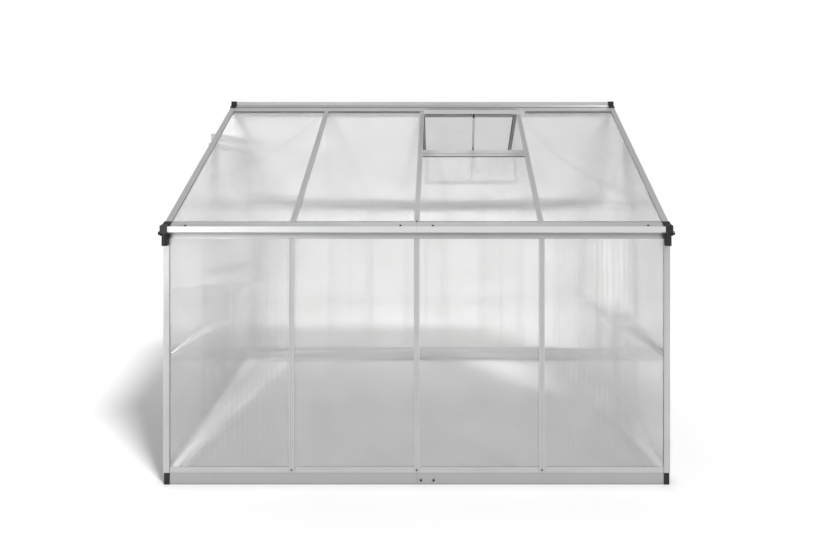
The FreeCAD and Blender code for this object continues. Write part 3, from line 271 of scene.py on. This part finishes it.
def mesh_piece(name, points, faces):
    """A mesh object at the origin from an array of points and one of four-cornered faces."""
    mesh = bpy.data.meshes.new(name)
    mesh.from_pydata(points.tolist(), [], np.asarray(faces).tolist())
    mesh.update()
    piece = bpy.data.objects.new(name, mesh)
    scene.collection.objects.link(piece)
    return piece


corner = np.array([[-1, -1, 0], [1, -1, 0], [1, 1, 0], [-1, 1, 0]], float) * FLOOR_HALF
floor = mesh_piece("floor", corner, [(0, 1, 2, 3)])
floor.data.materials.append(paper_floor())

# ------------------------------------------------------------------------- steel base
# Four galvanised channels folded from sheet, spliced at mid length and bolted together. They
# stand on the ground and carry the aluminium frame. Dip galvanising leaves a grey spangle.
ZINC_PALE = (0.45, 0.452, 0.455, 1.0)
ZINC_DARK = (0.41, 0.412, 0.415, 1.0)
ZINC_BLOOM = (0.50, 0.502, 0.505, 1.0)
ZINC_HIGHLIGHT = (0.66, 0.665, 0.67, 1.0)
ZINC_HIGHLIGHT_SHARE = 0.5
ZINC_EDGE = 0.0015
SPANGLE_PER_METRE = 170.0
BLOOM_PER_METRE = 9.0
BLOOM_RANGE = (0.45, 0.75)
BLOOM_SHARE = 0.2
BLOOM_DULLING = 0.12
ZINC_GRAIN_PER_METRE = 700.0
ZINC_METALLIC = 0.85
ZINC_ROUGHNESS = (0.34, 0.52)
SPANGLE_RELIEF = 0.4
ZINC_GRAIN_RELIEF = 0.6
ZINC_BUMP = 0.25
SPANGLE_DEPTH = 0.0003


def build_edge_highlights():
    """Group: a mask that is one along outer edges, for a painted highlight that also stands for
    the polish of handling. It is the turn between the true normal and one rounded over the given
    radius."""
    group, entry, leave = start_group("rubbed_edges", {"Radius": "Float"}, {"Mask": "Float"})
    rounded = add_node(group, "Bevel", samples=4, radius=entry["Radius"]).outputs[0]
    flat = add_node(group, "NewGeometry").outputs["Normal"]
    product = add_node(group, "VectorMath", operation="DOT_PRODUCT", n0=rounded, n1=flat)
    group.links.new(ramp(group, product.outputs["Value"], *EDGE_TURN), leave["Mask"])
    return group


EDGE_TURN = (0.98, 0.80)
EDGE_HIGHLIGHTS = build_edge_highlights()
# Painted shade: colour darkened in inside corners, where shade falls.
CORNER_SHADE_COLOUR = (0.06, 0.06, 0.06, 1.0)
CORNER_SHADE_REACH = 0.007
CORNER_SHADE_SHARE = 0.85


def paint_corner_shade(tree, colour, reach):
    """The colour, darkened by painted shade within that reach of an inside corner."""
    painted_shade = use_group(tree, PAINTED_CORNER_SHADE, reach=reach).outputs["Mask"]
    return colour_mix(tree, math_node(tree, "MULTIPLY", painted_shade, CORNER_SHADE_SHARE), colour, CORNER_SHADE_COLOUR)


def paint_edge_highlights(tree, colour, radius, share, highlight):
    """The colour, turned that far towards a paler one along outer edges: a painted edge highlight."""
    edges = use_group(tree, EDGE_HIGHLIGHTS, radius=radius).outputs["Mask"]
    return colour_mix(tree, math_node(tree, "MULTIPLY", edges, share), colour, highlight)


def press_in(tree, shader, height, strength, depth):
    """The height felt as fine relief of that depth, in metres, on the shader's surface."""
    bump = add_node(tree, "Bump", strength=strength, distance=depth, height=height)
    tree.links.new(bump.outputs[0], shader.inputs["Normal"])


def galvanised_steel():
    """Zinc spangle: each crystal has its own grey and its own gloss, under thin white bloom."""
    material, tree, shader, coordinates = new_material("galvanised_steel")
    crystals = add_node(
        tree, "TexVoronoi", vector=coordinates, scale=SPANGLE_PER_METRE, randomness=1.0
    ).outputs["Color"]
    crystal = add_node(tree, "SeparateColor", color=crystals).outputs[0]
    bloom = ramp(tree, noise(tree, coordinates, BLOOM_PER_METRE, 6.0), *BLOOM_RANGE)
    spangle = colour_mix(tree, crystal, ZINC_DARK, ZINC_PALE)
    bloomed = colour_mix(tree, math_node(tree, "MULTIPLY", bloom, BLOOM_SHARE), spangle, ZINC_BLOOM)
    # Outer edges are painted paler as a highlight.
    edge_lit = paint_edge_highlights(tree, bloomed, ZINC_EDGE, ZINC_HIGHLIGHT_SHARE, ZINC_HIGHLIGHT)
    # Inside corners are darkened as painted shade.
    tree.links.new(paint_corner_shade(tree, edge_lit, CORNER_SHADE_REACH), shader.inputs["Base Color"])
    shader.inputs["Metallic"].default_value = ZINC_METALLIC
    dulled = math_node(tree, "MULTIPLY", bloom, BLOOM_DULLING)
    rough = math_node(tree, "ADD", ramp(tree, crystal, 0.0, 1.0, *ZINC_ROUGHNESS), dulled)
    tree.links.new(rough, shader.inputs["Roughness"])
    grain = noise(tree, coordinates, ZINC_GRAIN_PER_METRE, 2.0)
    fine = math_node(tree, "MULTIPLY", grain, ZINC_GRAIN_RELIEF)
    height = math_node(tree, "ADD", math_node(tree, "MULTIPLY", crystal, SPANGLE_RELIEF), fine)
    press_in(tree, shader, height, ZINC_BUMP, SPANGLE_DEPTH)
    return material


def finish_nodes(material, *names):
    """The named CAD nodes take that material on all their faces."""
    for name in names:
        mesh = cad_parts[name].data
        mesh.materials.clear()
        mesh.materials.append(material)


finish_nodes(galvanised_steel(), "base_front", "base_rear", "base_gables", "splice_plates")

# ------------------------------------------------------------------ moulded black parts
# Corner caps of the base, gutter ends, spouts, ridge ends, and the small brackets are injection
# moulded in black plastic, with a fine spark-eroded grain and edges painted paler as a highlight,
# partly for rubbing.
BLACK = (0.012, 0.012, 0.013, 1.0)
BLACK_DUSTY = (0.025, 0.025, 0.026, 1.0)
BLACK_HIGHLIGHT = (0.06, 0.06, 0.062, 1.0)
BLACK_HIGHLIGHT_SHARE = 0.55
BLACK_EDGE = 0.0012
BLACK_DUST_PER_METRE = 30.0
BLACK_DUST_RANGE = (0.42, 0.72)
BLACK_DUST_SHARE = 0.6
BLACK_DUST_DULLING = 0.22
BLACK_SPECULAR = 0.3
SPARK_GRAIN_PER_METRE = 1500.0
SPARK_GRAIN_BUMP = 0.3
SPARK_GRAIN_DEPTH = 0.00015


def black_plastic(name, roughness):
    """Moulded black plastic: fine grain in relief, thin dust in clouds, edges painted paler as a
    highlight.
    """
    material, tree, shader, coordinates = new_material(name)
    dust = ramp(tree, noise(tree, coordinates, BLACK_DUST_PER_METRE, 5.0), *BLACK_DUST_RANGE)
    body = colour_mix(tree, math_node(tree, "MULTIPLY", dust, BLACK_DUST_SHARE), BLACK, BLACK_DUSTY)
    highlighted = paint_edge_highlights(tree, body, BLACK_EDGE, BLACK_HIGHLIGHT_SHARE, BLACK_HIGHLIGHT)
    tree.links.new(highlighted, shader.inputs["Base Color"])
    rough = ramp(tree, dust, 0.0, 1.0, roughness, roughness + BLACK_DUST_DULLING)
    tree.links.new(rough, shader.inputs["Roughness"])
    shader.inputs["Specular IOR Level"].default_value = BLACK_SPECULAR
    grain = noise(tree, coordinates, SPARK_GRAIN_PER_METRE, 2.0)
    press_in(tree, shader, grain, SPARK_GRAIN_BUMP, SPARK_GRAIN_DEPTH)
    return material


MATT_BLACK = black_plastic("matt_black_plastic", 0.42)
GLOSSY_BLACK = black_plastic("glossy_black_plastic", 0.16)
finish_nodes(MATT_BLACK, "base_corner_caps", "door_guides", "door_handle", "stay_bracket")
finish_nodes(GLOSSY_BLACK, "ridge_end_caps", "gutter_end_caps", "gutter_spouts")

# ------------------------------------------------------------------- aluminium profiles
# Every bar, post, rail and rafter is a mill-finish aluminium extrusion. The die leaves fine
# lines along its length and handling leaves soft smudges. Outer edges are painted paler as a
# highlight, partly for rubbing, and inside corners are darkened as painted shade.
MILL_PALE = (0.58, 0.582, 0.585, 1.0)
MILL_DARK = (0.48, 0.482, 0.485, 1.0)
MILL_HIGHLIGHT = (0.80, 0.81, 0.82, 1.0)
MILL_HIGHLIGHT_SHARE = 0.6
MILL_EDGE = 0.0012
MILL_METALLIC = 0.9
MILL_ROUGHNESS = (0.44, 0.30)
MILL_BUMP = 0.2
DIE_LINES_PER_METRE = 520.0
DIE_BANDS_PER_METRE = 45.0
SMUDGES_PER_METRE = 7.0
LINE_SHARE = 0.45
BAND_SHARE = 0.3
SMUDGE_SHARE = 0.25
DIE_LINE_DEPTH = 0.0002
LINE_STRETCH = 0.01
GRAIN_RANGE = (0.36, 0.64)
# The gutter's painted shade reaches further, to darken the rail under its lip.
GUTTER_SHADE_REACH = 0.03
# A painted highlight on the gutter's outer lip.
LIP_HIGHLIGHT = (0.78, 0.783, 0.786, 1.0)
LIP_HIGHLIGHT_SHARE = 0.75
LIP_HIGHLIGHT_STARTS = 0.006
LIP_HIGHLIGHT_FULL = 0.002


def build_extrusion_grain():
    """Group: die lines from coordinates stretched along the bar, and smudges from plain ones.
    Colour runs from dark to pale with them, gloss and height follow the lines."""
    group, entry, leave = start_group(
        "extrusion_grain",
        {"Lines": "Vector", "Place": "Vector", "Pale": "Color", "Dark": "Color"},
        {"Colour": "Color", "Roughness": "Float", "Height": "Float"},
    )
    lines = noise(group, entry["Lines"], DIE_LINES_PER_METRE, 3.0)
    bands = noise(group, entry["Lines"], DIE_BANDS_PER_METRE, 2.0)
    smudge = noise(group, entry["Place"], SMUDGES_PER_METRE, 6.0)
    banded = math_node(group, "MULTIPLY", bands, BAND_SHARE)
    broad = math_node(group, "ADD", banded, math_node(group, "MULTIPLY", smudge, SMUDGE_SHARE))
    together = math_node(group, "ADD", math_node(group, "MULTIPLY", lines, LINE_SHARE), broad)
    share = ramp(group, together, *GRAIN_RANGE)
    group.links.new(colour_mix(group, share, entry["Dark"], entry["Pale"]), leave["Colour"])
    group.links.new(ramp(group, together, *GRAIN_RANGE, *MILL_ROUGHNESS), leave["Roughness"])
    group.links.new(lines, leave["Height"])
    return group


EXTRUSION_GRAIN = build_extrusion_grain()


def aluminium(name, stretch, turn=(0.0, 0.0, 0.0), reach=CORNER_SHADE_REACH):
    """Mill-finish aluminium whose die lines run along the axis that stretch squeezes, once the
    piece is turned."""
    material, tree, shader, coordinates = new_material(name)
    turned = add_node(tree, "Mapping", vector=coordinates, rotation=turn).outputs[0]
    lines = add_node(tree, "Mapping", vector=turned, scale=stretch).outputs[0]
    grain = use_group(
        tree, EXTRUSION_GRAIN, lines=lines, place=coordinates, pale=MILL_PALE, dark=MILL_DARK
    ).outputs
    # Outer edges are painted paler as a highlight.
    edge_lit = paint_edge_highlights(tree, grain["Colour"], MILL_EDGE, MILL_HIGHLIGHT_SHARE, MILL_HIGHLIGHT)
    # Inside corners are darkened as painted shade.
    tree.links.new(paint_corner_shade(tree, edge_lit, reach), shader.inputs["Base Color"])
    shader.inputs["Metallic"].default_value = MILL_METALLIC
    tree.links.new(grain["Roughness"], shader.inputs["Roughness"])
    press_in(tree, shader, grain["Height"], MILL_BUMP, DIE_LINE_DEPTH)
    return material


def paint_lip_highlight(material):
    """A painted highlight on the gutter's outer lip: the colour turns paler where
    the piece stands furthest out from the wall."""
    tree = material.node_tree
    shader = next(node for node in tree.nodes if node.type == "BSDF_PRINCIPLED")
    coordinates = next(node for node in tree.nodes if node.type == "TEX_COORD").outputs["Object"]
    across = add_node(tree, "SeparateXYZ", vector=coordinates).outputs["Y"]
    outward = math_node(tree, "ABSOLUTE", across)
    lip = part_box("eave_gutter_rear")[1].y
    highlight = ramp(tree, outward, lip - LIP_HIGHLIGHT_STARTS, lip - LIP_HIGHLIGHT_FULL)
    plain = shader.inputs["Base Color"].links[0].from_socket
    colour = colour_mix(tree, math_node(tree, "MULTIPLY", highlight, LIP_HIGHLIGHT_SHARE), plain, LIP_HIGHLIGHT)
    tree.links.new(colour, shader.inputs["Base Color"])


bars_low, bars_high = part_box("roof_bars_front")
ROOF_SLOPE = math.atan2(bars_high.z - bars_low.z, bars_high.y - bars_low.y)
LENGTHWISE = aluminium("aluminium_lengthwise", (LINE_STRETCH, 1.0, 1.0))
GUTTER_LENGTHWISE = aluminium("aluminium_gutter", (LINE_STRETCH, 1.0, 1.0), reach=GUTTER_SHADE_REACH)
paint_lip_highlight(GUTTER_LENGTHWISE)
CROSSWISE = aluminium("aluminium_crosswise", (1.0, LINE_STRETCH, 1.0))
UPRIGHT = aluminium("aluminium_upright", (1.0, 1.0, LINE_STRETCH))
UP_FRONT_SLOPE = aluminium("aluminium_front_slope", (1.0, LINE_STRETCH, 1.0), (-ROOF_SLOPE, 0.0, 0.0))
UP_REAR_SLOPE = aluminium("aluminium_rear_slope", (1.0, LINE_STRETCH, 1.0), (ROOF_SLOPE, 0.0, 0.0))

finish_nodes(
    LENGTHWISE,
    "sill_front",
    "sill_rear",
    "ridge_beam",
    "vent_cross_bar",
    "sash_top_rail",
    "sash_bottom_rail",
)
finish_nodes(GUTTER_LENGTHWISE, "eave_gutter_front", "eave_gutter_rear")
finish_nodes(
    CROSSWISE,
    "sills_gable",
    "gable_mid_rails_left",
    "gable_mid_rails_right",
    "door_head",
    "door_track",
    "door_bottom_track",
    "door_top_rail",
    "door_mid_rail",
    "door_bottom_rail",
    "sash_side_rails",
)
finish_nodes(
    UPRIGHT,
    "corner_post_front_left",
    "corner_post_front_right",
    "corner_post_rear_left",
    "corner_post_rear_right",
    "studs_front",
    "studs_rear",
    "gable_studs",
    "door_posts",
    "door_stiles",
    "door_hangers",
    "track_end_strut",
    "stay_bar",
    "stay_peg",
)
finish_nodes(UP_FRONT_SLOPE, "roof_bars_front")
finish_nodes(UP_REAR_SLOPE, "roof_bars_rear")
finish_nodes(UP_FRONT_SLOPE, "gable_rafters_left", "gable_rafters_right")

# --------------------------------------------------------------------- glazing sheets
# Twin-wall polycarbonate, extruded as two thin skins joined by upright ribs. The crowned
# channels between the ribs smear what lies behind sideways. The sheets slide into the grooves.
CHANNEL_PITCH = 0.006
RIB = 0.0005
SKIN = 0.0006
CROWN = 0.13
RING_POINTS = 16
SHARP_EDGE = 30.0
SHADOW_TINT = (0.62, 0.62, 0.62, 1.0)
SCATTER_TINT = (0.90, 0.90, 0.90, 1.0)
SHEET_CLEAR = (0.985, 0.985, 0.985, 1.0)
SHEET_DUSTY = (0.95, 0.95, 0.945, 1.0)
SHEET_DUST_PER_METRE = 5.0
SHEET_DUST_RANGE = (0.4, 0.8)
SHEET_ROUGHNESS = (0.03, 0.10)
SHEET_TRANSMISSION = 0.95
SHEET_IOR = 1.5


def build_dust_film():
    """Group: a mask for the thin clouds of dust that dry on a sheet."""
    group, entry, leave = start_group("dust_film", {"Place": "Vector"}, {"Mask": "Float"})
    cloud = noise(group, entry["Place"], SHEET_DUST_PER_METRE, 6.0)
    group.links.new(ramp(group, cloud, *SHEET_DUST_RANGE), leave["Mask"])
    return group


DUST_FILM = build_dust_film()


def polycarbonate():
    """Clear sheet. Light on its way from a lamp and light scattered inside the house pass
    straight through it, each dimmed by its own tint."""
    material, tree, shader, coordinates = new_material("polycarbonate")
    dust = use_group(tree, DUST_FILM, place=coordinates).outputs["Mask"]
    tree.links.new(colour_mix(tree, dust, SHEET_CLEAR, SHEET_DUSTY), shader.inputs["Base Color"])
    tree.links.new(ramp(tree, dust, 0.0, 1.0, *SHEET_ROUGHNESS), shader.inputs["Roughness"])
    shader.inputs["Transmission Weight"].default_value = SHEET_TRANSMISSION
    shader.inputs["IOR"].default_value = SHEET_IOR
    ray = add_node(tree, "LightPath").outputs
    shade = colour_mix(tree, ray["Is Diffuse Ray"], SHADOW_TINT, SCATTER_TINT)
    clear = add_node(tree, "BsdfTransparent", color=shade)
    passing = math_node(tree, "ADD", ray["Is Shadow Ray"], ray["Is Diffuse Ray"], clamp=True)
    mix = add_node(tree, "MixShader", n0=passing, n1=shader.outputs[0], n2=clear.outputs[0])
    out = next(node for node in tree.nodes if node.type == "OUTPUT_MATERIAL")
    tree.links.new(mix.outputs[0], out.inputs["Surface"])
    return material


def node_islands(name):
    """The separate solids of a CAD node, each as an array of its corner points."""
    work = bmesh.new()
    work.from_mesh(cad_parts[name].data)
    bmesh.ops.remove_doubles(work, verts=work.verts, dist=1e-5)
    islands, seen = [], set()
    for start in work.verts:
        if start in seen:
            continue
        island, waiting = [], [start]
        seen.add(start)
        while waiting:
            vertex = waiting.pop()
            island.append(vertex.co[:])
            fresh = {edge.other_vert(vertex) for edge in vertex.link_edges} - seen
            seen |= fresh
            waiting += fresh
        islands.append(np.array(island))
    work.free()
    return islands


def sheet_normal(name):
    """The direction that most of a node's area faces: the eigenvector of its area-weighted
    normals with the largest eigenvalue."""
    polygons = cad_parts[name].data.polygons
    normals = np.array([polygon.normal[:] for polygon in polygons])
    areas = np.array([polygon.area for polygon in polygons])
    return np.linalg.eigh((normals * areas[:, None]).T @ normals)[1][:, -1]


def channel_sheet(corners, across, up, normal):
    """Points and faces of one twin-wall sheet that fills the flat solid with those corners.
    The sheet is a row of cells. A cell has a ring of points on its square outline and a ring on
    the channel inside it, a box whose two broad sides are crowned: their depth falls with the
    square of the distance from the middle. Both rings are carried from the lower edge to the
    upper one, which follow the solid's outline."""
    across_places, up_places, depths = corners @ across, corners @ up, corners @ normal
    stations = np.unique(np.round(across_places, 5))
    near = np.abs(across_places[None] - stations[:, None]) < 2e-5
    heads = np.where(near, up_places[None], -np.inf).max(1)
    feet = np.where(near, up_places[None], np.inf).min(1)
    start, end = stations[0], stations[-1]
    middle, thickness = (depths.min() + depths.max()) / 2, np.ptp(depths)
    cells = max(1, round((end - start) / CHANNEL_PITCH))
    pitch = (end - start) / cells
    angles = np.arange(RING_POINTS) * 2 * np.pi / RING_POINTS
    ring = np.stack([np.cos(angles), np.sin(angles)], 1)
    square = (ring / np.abs(ring).max(1, keepdims=True)).round(6)
    crowned = square[:, 1] * (1 - CROWN * square[:, 0] ** 2)
    centres = start + (np.arange(cells) + 0.5) * pitch
    outer_across = (centres[:, None] + square[None, :, 0] * pitch / 2).ravel()
    inner_across = (centres[:, None] + square[None, :, 0] * (pitch - RIB) / 2).ravel()
    outer_depth = np.tile(square[:, 1] * thickness / 2, cells)
    inner_depth = np.tile(crowned * (thickness / 2 - SKIN), cells)
    place = np.concatenate([outer_across, inner_across])
    depth = np.concatenate([outer_depth, inner_depth]) + middle
    foot, head = np.interp(place, stations, feet), np.interp(place, stations, heads)
    flat = place[:, None] * across + depth[:, None] * normal
    points = np.concatenate([flat + foot[:, None] * up, flat + head[:, None] * up])
    lift = len(place)
    outer = np.arange(cells * RING_POINTS).reshape(cells, RING_POINTS)
    inner = outer + cells * RING_POINTS
    outer_next, inner_next = np.roll(outer, -1, 1), np.roll(inner, -1, 1)
    foot_ring = np.stack([outer_next, outer, inner, inner_next], -1).reshape(-1, 4)
    head_ring = np.stack([outer, outer_next, inner_next, inner], -1).reshape(-1, 4) + lift
    walls = np.stack([inner_next, inner, inner + lift, inner_next + lift], -1).reshape(-1, 4)
    rim = np.stack([outer, outer_next, outer_next + lift, outer + lift], -1)
    corner = RING_POINTS // 8
    broad = np.r_[corner : 3 * corner, 5 * corner : 7 * corner]
    skins = rim[:, broad].reshape(-1, 4)
    right, left = np.r_[-corner:corner], np.r_[3 * corner : 5 * corner]
    edges = np.concatenate([rim[-1, right], rim[0, left]])
    faces = np.concatenate([foot_ring, head_ring, walls, skins, edges])
    if np.dot(np.cross(across, normal), up) < 0:
        faces = faces[:, ::-1]
    _, kept, places = np.unique(points.round(7), axis=0, return_index=True, return_inverse=True)
    return points[kept], places.reshape(-1)[faces]


POLYCARBONATE = polycarbonate()


def glaze(name, node, across, body):
    """One piece with all the twin-wall sheets of a CAD node, in place of that node."""
    across = np.array(across, float)
    normal = sheet_normal(node)
    up = np.cross(normal, across)
    up *= np.sign(up[2]) if abs(up[2]) > 1e-6 else 1.0
    points, faces, count = [], [], 0
    for corners in node_islands(node):
        sheet_points, sheet_faces = channel_sheet(corners, across, up, normal)
        points.append(sheet_points)
        faces.append(sheet_faces + count)
        count += len(sheet_points)
    piece = mesh_piece(name, np.concatenate(points), np.concatenate(faces))
    piece.data.shade_smooth()
    piece.data.set_sharp_from_angle(angle=math.radians(SHARP_EDGE))
    piece.data.materials.append(POLYCARBONATE)
    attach(piece, body)
    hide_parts(node)
    return piece


glaze("front_wall_sheets", "wall_panels_front", (1, 0, 0), "frame")
glaze("rear_wall_sheets", "wall_panels_rear", (1, 0, 0), "frame")
glaze("front_roof_sheets", "roof_panels_front", (1, 0, 0), "frame")
glaze("rear_roof_sheets", "roof_panels_rear", (1, 0, 0), "frame")
glaze("left_gable_sheets", "gable_panels_left", (0, 1, 0), "frame")
glaze("right_gable_sheets", "gable_panels_right", (0, 1, 0), "frame")
glaze("vent_sheet", "sash_panel", (1, 0, 0), "vent_sash")
glaze("door_sheets", "door_panels", (0, 1, 0), "door")

# ------------------------------------------------------------------ door track's ends
# The door hangs on rollers in a slotted track along the left gable. A small aluminium plate on
# each sawn end of the track keeps the rollers in and the rain out.
END_PLATE = 0.003
END_LIP = 0.0015


def end_plate(name, middle, half, turn):
    """A plate of that half size square to Y, whose outer edges are cut back at 45 degrees. It
    is a stack of three rectangles in Y: full, full, and one smaller by the cut."""
    front = turn * END_PLATE / 2
    steps = ((-front, 0.0), (front - turn * END_LIP, 0.0), (front, END_LIP))
    rings = [
        [
            (middle[0] + side * (half[0] - back), middle[1] + step, middle[2] + rise * (half[1] - back))
            for side, rise in ((-1, -1), (1, -1), (1, 1), (-1, 1))
        ]
        for step, back in steps
    ]
    faces = [(0, 1, 2, 3), (11, 10, 9, 8)]
    for level in (0, 4):
        for index in range(4):
            along = (index + 1) % 4
            faces.append((level + index, level + 4 + index, level + 4 + along, level + along))
    if turn < 0:
        faces = [face[::-1] for face in faces]
    piece = mesh_piece(name, np.array(rings).reshape(-1, 3), faces)
    piece.data.materials.append(CROSSWISE)
    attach(piece, "frame")


track_low, track_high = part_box("door_track")
track_middle = (track_low + track_high) / 2
track_half = ((track_high.x - track_low.x) / 2, (track_high.z - track_low.z) / 2)
front_end = (track_middle.x, track_low.y - END_PLATE / 2, track_middle.z)
rear_end = (track_middle.x, track_high.y + END_PLATE / 2, track_middle.z)
end_plate("track_plate_front", front_end, track_half, -1)
end_plate("track_plate_rear", rear_end, track_half, 1)

# ---------------------------------------------------------------------------- fixings
# Small dark-plated bolts hold the eaves, splices and base; steel pins carry the vent stay and
# the door's nylon rollers.
FILM_PER_METRE = 160.0
FILM_RANGE = (0.35, 0.65)
FILM_POLISH = 0.15
TURNED_GRAIN_PER_METRE = 1800.0
TURNED_GRAIN_BUMP = 0.2
TURNED_GRAIN_DEPTH = 0.0001


def turned(name, pale, dark, metallic, roughness):
    """A small turned part: a mottled film in colour and gloss, over fine grain."""
    material, tree, shader, coordinates = new_material(name)
    film = ramp(tree, noise(tree, coordinates, FILM_PER_METRE, 5.0), *FILM_RANGE)
    tree.links.new(colour_mix(tree, film, dark, pale), shader.inputs["Base Color"])
    shader.inputs["Metallic"].default_value = metallic
    rough = ramp(tree, film, 0.0, 1.0, roughness + FILM_POLISH, roughness)
    tree.links.new(rough, shader.inputs["Roughness"])
    grain = noise(tree, coordinates, TURNED_GRAIN_PER_METRE, 2.0)
    press_in(tree, shader, grain, TURNED_GRAIN_BUMP, TURNED_GRAIN_DEPTH)
    return material


DARK_PLATE = turned("dark_bolts", (0.02, 0.02, 0.021, 1.0), (0.01, 0.01, 0.01, 1.0), 0.0, 0.5)
PLATED_STEEL = turned("plated_steel", (0.72, 0.71, 0.68, 1.0), (0.52, 0.51, 0.48, 1.0), 1.0, 0.2)
NYLON = turned("roller_nylon", (0.82, 0.81, 0.77, 1.0), (0.70, 0.69, 0.65, 1.0), 0.0, 0.35)
finish_nodes(DARK_PLATE, "base_bolts", "frame_bolts")
finish_nodes(PLATED_STEEL, "door_axles", "stay_pivot_pin")
finish_nodes(NYLON, "door_roller_front", "door_roller_rear")

# ---------------------------------------------------------------- light on the rails
# Lamps in front and behind pick out the rails inside the house, which the sheets leave in
# shade. Another softens the shadow on the floor just behind the house.
RAILS = (
    "base_rear",
    "base_gables",
    "sill_rear",
    "sills_gable",
    "gable_mid_rails_left",
    "gable_mid_rails_right",
)
RAIL_AIM = Vector((0.0, 0.0, 0.4))
RAIL_LAMPS = (
    ("rail_lamp_front", Vector((0.0, -4.2, 0.25)), (3.5, 0.5), 75.0),
    ("rail_lamp_right", Vector((3.4, 4.2, 0.35)), (3.0, 0.6), 200.0),
    ("rail_lamp_left", Vector((-2.6, 4.4, 1.6)), (2.0, 1.2), 115.0),
)
YARD_PLACE = Vector((-0.3, 1.7, 1.1))
YARD_AIM = YARD_PLACE - Vector((0.0, 0.0, 1.0))
YARD_SIZE = (3.6, 0.8)
YARD_POWER = 9.0

nothing_between = bpy.data.collections.new("nothing_between")
nothing_between.objects.link(floor)


def lit_only(lamp, objects):
    """The lamp lights only those objects, and nothing but the floor shades them from it."""
    lit = bpy.data.collections.new(lamp.name + "_lights")
    for piece in objects:
        lit.objects.link(piece)
    lamp.light_linking.receiver_collection = lit
    lamp.light_linking.blocker_collection = nothing_between


for name, place, size, power in RAIL_LAMPS:
    rail_lamp = long_lamp(name, place, size, power, RAIL_AIM)
    lit_only(rail_lamp, [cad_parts[node] for node in RAILS])
lit_only(long_lamp("yard_lamp", YARD_PLACE, YARD_SIZE, YARD_POWER, YARD_AIM), [floor])
